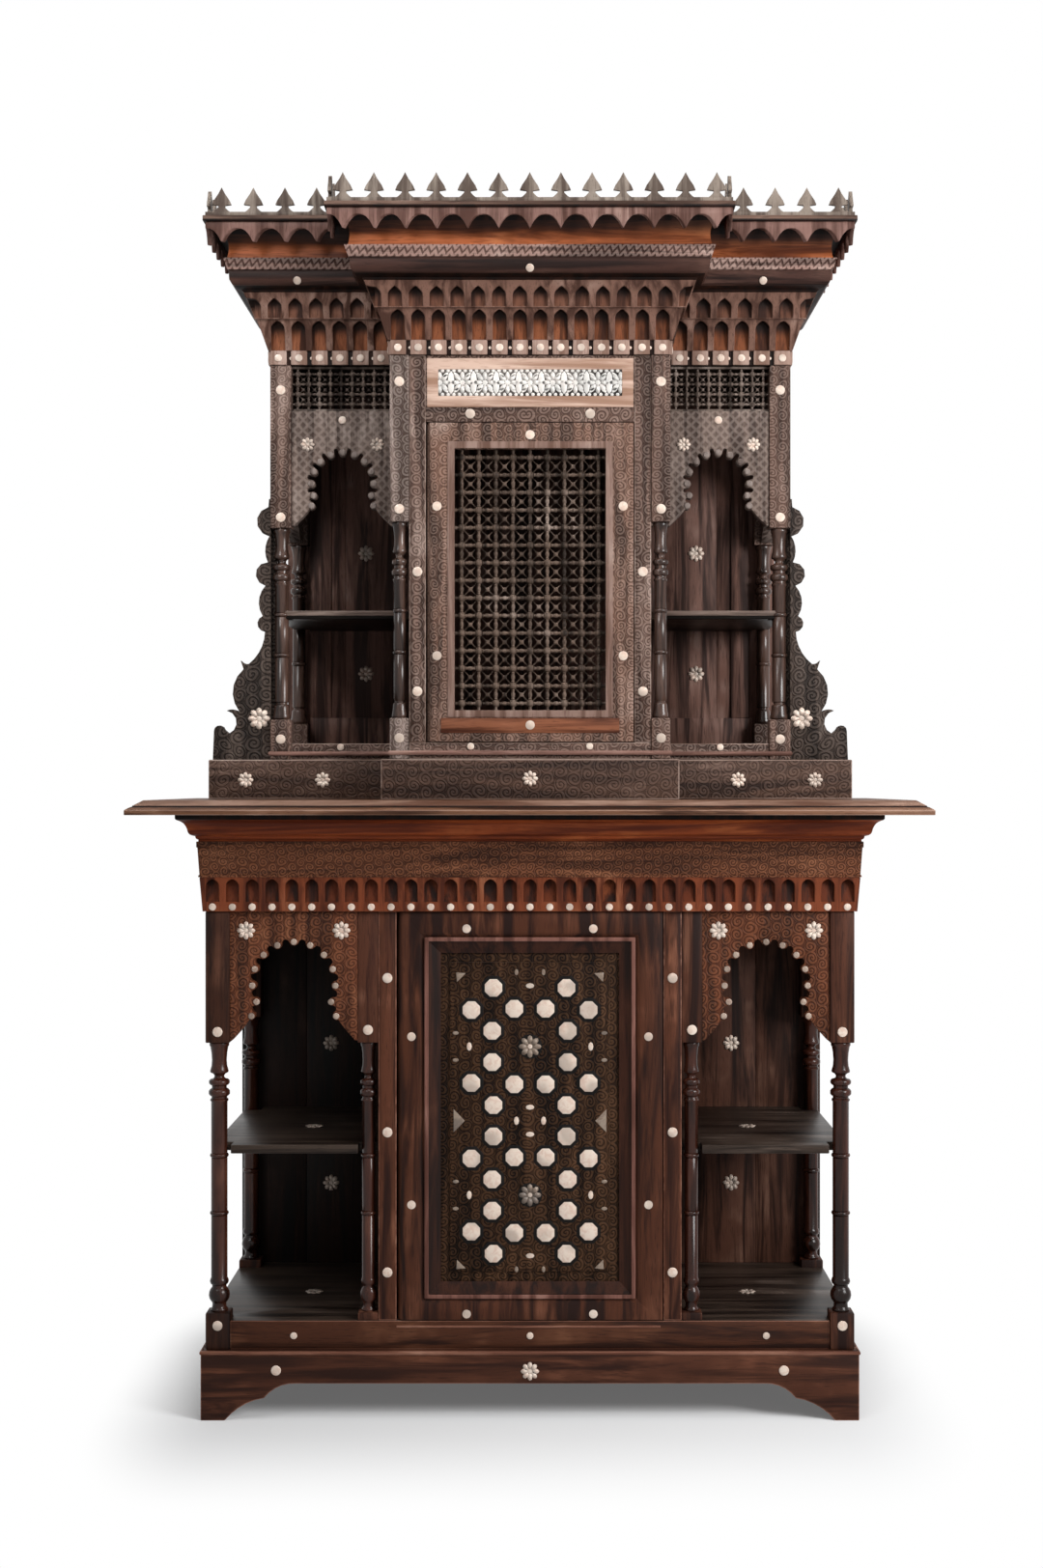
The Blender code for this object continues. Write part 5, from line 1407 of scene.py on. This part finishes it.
round_lower = ("left", "front", "right")
round_upper = ("left", "front", "left", "front", "right", "front", "right")
small_dots = row_of_dots(lower_plan, round_lower, lean_foot, 0.8495, block_pitch, 0.80)
small_dots += row_of_dots(upper_plan, round_upper, 0.0033, 1.7855, tier_pitch, 0.85)
small_dots += row_of_dots(upper_plan, round_upper, -0.0005, 1.7855, tier_pitch, 0.36, at_joints=True)
inlay += copies(pearl_disc(0.0078, 0.0016, 12), small_dots)
lower_middle = arches["lower"]["middle"]
upper_middle = arches["upper"]["middle"]
lower_spandrel = 0.079
upper_spandrel = 0.060
stars = []
for x, face, levels, size in (
    (lower_middle - lower_spandrel, rail_front, (0.810,), 1.0),
    (lower_middle + lower_spandrel, rail_front, (0.810,), 1.0),
    (upper_middle - upper_spandrel, side_rail_front, (1.638,), 0.8),
    (upper_middle + upper_spandrel, side_rail_front, (1.638,), 0.8),
    (0.356, upper_plinth_front, (1.060,), 0.88),
    (0.488, upper_plinth_front, (1.060,), 0.88),
    (0.372, back_face, (0.571, 0.311), 1.0),
    (0.307, back_face, (1.482, 1.258), 1.0),
    (0.468, bracket_front, (1.166,), 1.25),
):
    stars += [spot(sign * x, face, z, "front", size) for sign in (-1, 1) for z in levels]
stars += [spot(0, upper_bay_plinth_front, 1.062, "front", 0.88), spot(0, plinth_front, 0.082)]
stars += [spot(x, shelf_star_y, z, "up") for x in (-0.379, 0.379) for z in (0.453, 0.1627)]
inlay += copies(petal_star(8, 0.0150, 0.0042, 0.0014, 0.0040), stars)
set_in(joined("pearl_inlay", inlay), [pearl], "pearl")


# Pivots: plain iron pins with a collar at the head and foot of each door, dull with age. Each is driven
# into the carcase, and the door turns on it.
iron, shader, point = new_finish("old_iron")
pitted = point.noise(300.0, 4.0)
feed(shader, "Base Color", pitted.step(0.40, 0.65).blend(stain(70, 66, 62), stain(110, 102, 94)))
feed(shader, "Roughness", 0.35 + pitted * 0.4)
shader.inputs["Metallic"].default_value = 1.0
for pivot in ("lower_pivot_foot", "lower_pivot_top", "upper_pivot_foot", "upper_pivot_top"):
    set_planed(pivot.replace("pivot", "pin"), pivot, 0.0006, [iron], "iron")


# Studio: a pale floor that runs out to white, a white surround, a broad soft lamp to the front right, a
# weaker one to the left and one above, and the camera at the height of the table.
def seen_directly(tree):
    """Above 0 for a ray from the camera or off a gloss or glass, and 0 for one that lights the room."""
    rays = tree.nodes.new("ShaderNodeLightPath").outputs
    return Wire(rays["Is Camera Ray"]) + Wire(rays["Is Glossy Ray"]) + Wire(rays["Is Transmission Ray"])


bpy.ops.mesh.primitive_plane_add(size=30)
floor = bpy.context.object
floor.name = "studio_floor"
floor_finish, shader, point = new_finish("studio_floor")
shader.inputs["Base Color"].default_value = stain(232, 233, 234)
shader.inputs["Roughness"].default_value = 0.9
shader.inputs["Specular IOR Level"].default_value = 0.0
tree = floor_finish.node_tree
beside = point.maths("ABSOLUTE", point.axis(0)) - 0.50
before = point.maths("ABSOLUTE", point.axis(1) - 0.045) - 0.20
beside = beside.maths("MAXIMUM", beside, 0.0) * 1.9
before = before.maths("MAXIMUM", before, 0.0)
away = beside.maths("SQRT", beside * beside + before * before)
seen = seen_directly(tree)
white = tree.nodes.new("ShaderNodeEmission")
mixed = tree.nodes.new("ShaderNodeMixShader")
tree.links.new(((away.step(0.02, 0.45) * 0.88 + 0.12) * seen).socket, mixed.inputs[0])
tree.links.new(shader.outputs[0], mixed.inputs[1])
tree.links.new(white.outputs[0], mixed.inputs[2])
tree.links.new(mixed.outputs[0], tree.nodes["Material Output"].inputs["Surface"])
floor.data.materials.append(floor_finish)

world = bpy.data.worlds.new("studio")
bpy.context.scene.world = world
world.use_nodes = True
background = world.node_tree.nodes["Background"]
background.inputs["Color"].default_value = (1, 1, 1, 1)
seen = seen_directly(world.node_tree)
ambient = 0.18
strength = seen.maths("MINIMUM", seen, 1.0) * (1.0 - ambient) + ambient
world.node_tree.links.new(strength.socket, background.inputs["Strength"])


def lamp(name, place, aim, size, power, spread=180):
    data = bpy.data.lights.new(name, "AREA")
    data.shape = "DISK"
    data.size = size
    data.energy = power
    data.spread = math.radians(spread)
    thing = bpy.data.objects.new(name, data)
    thing.location = place
    thing.rotation_euler = (Vector(aim) - Vector(place)).to_track_quat("-Z", "Y").to_euler()
    bpy.context.scene.collection.objects.link(thing)


lamp("key", (2.3, -1.95, 1.9), (0, 0, 1.0), 1.3, 103)
lamp("fill", (-1.5, -2.3, 3.3), (-0.4, 0, 1.75), 1.2, 4.6, 45)
lamp("top", (0.2, -1.6, 4.2), (0, 0, 1.0), 2.5, 52)

camera_data = bpy.data.cameras.new("camera")
camera_data.lens = 46.55
camera_data.sensor_width = 36.0
camera_data.shift_x = -20 / 1624
camera = bpy.data.objects.new("camera", camera_data)
camera.location = (0.018, -3.52, 1.053)
camera.rotation_euler = (math.radians(90), 0, 0)
bpy.context.scene.collection.objects.link(camera)
bpy.context.scene.camera = camera
bpy.context.scene.view_settings.view_transform = "Standard"

bpy.context.view_layer.update()
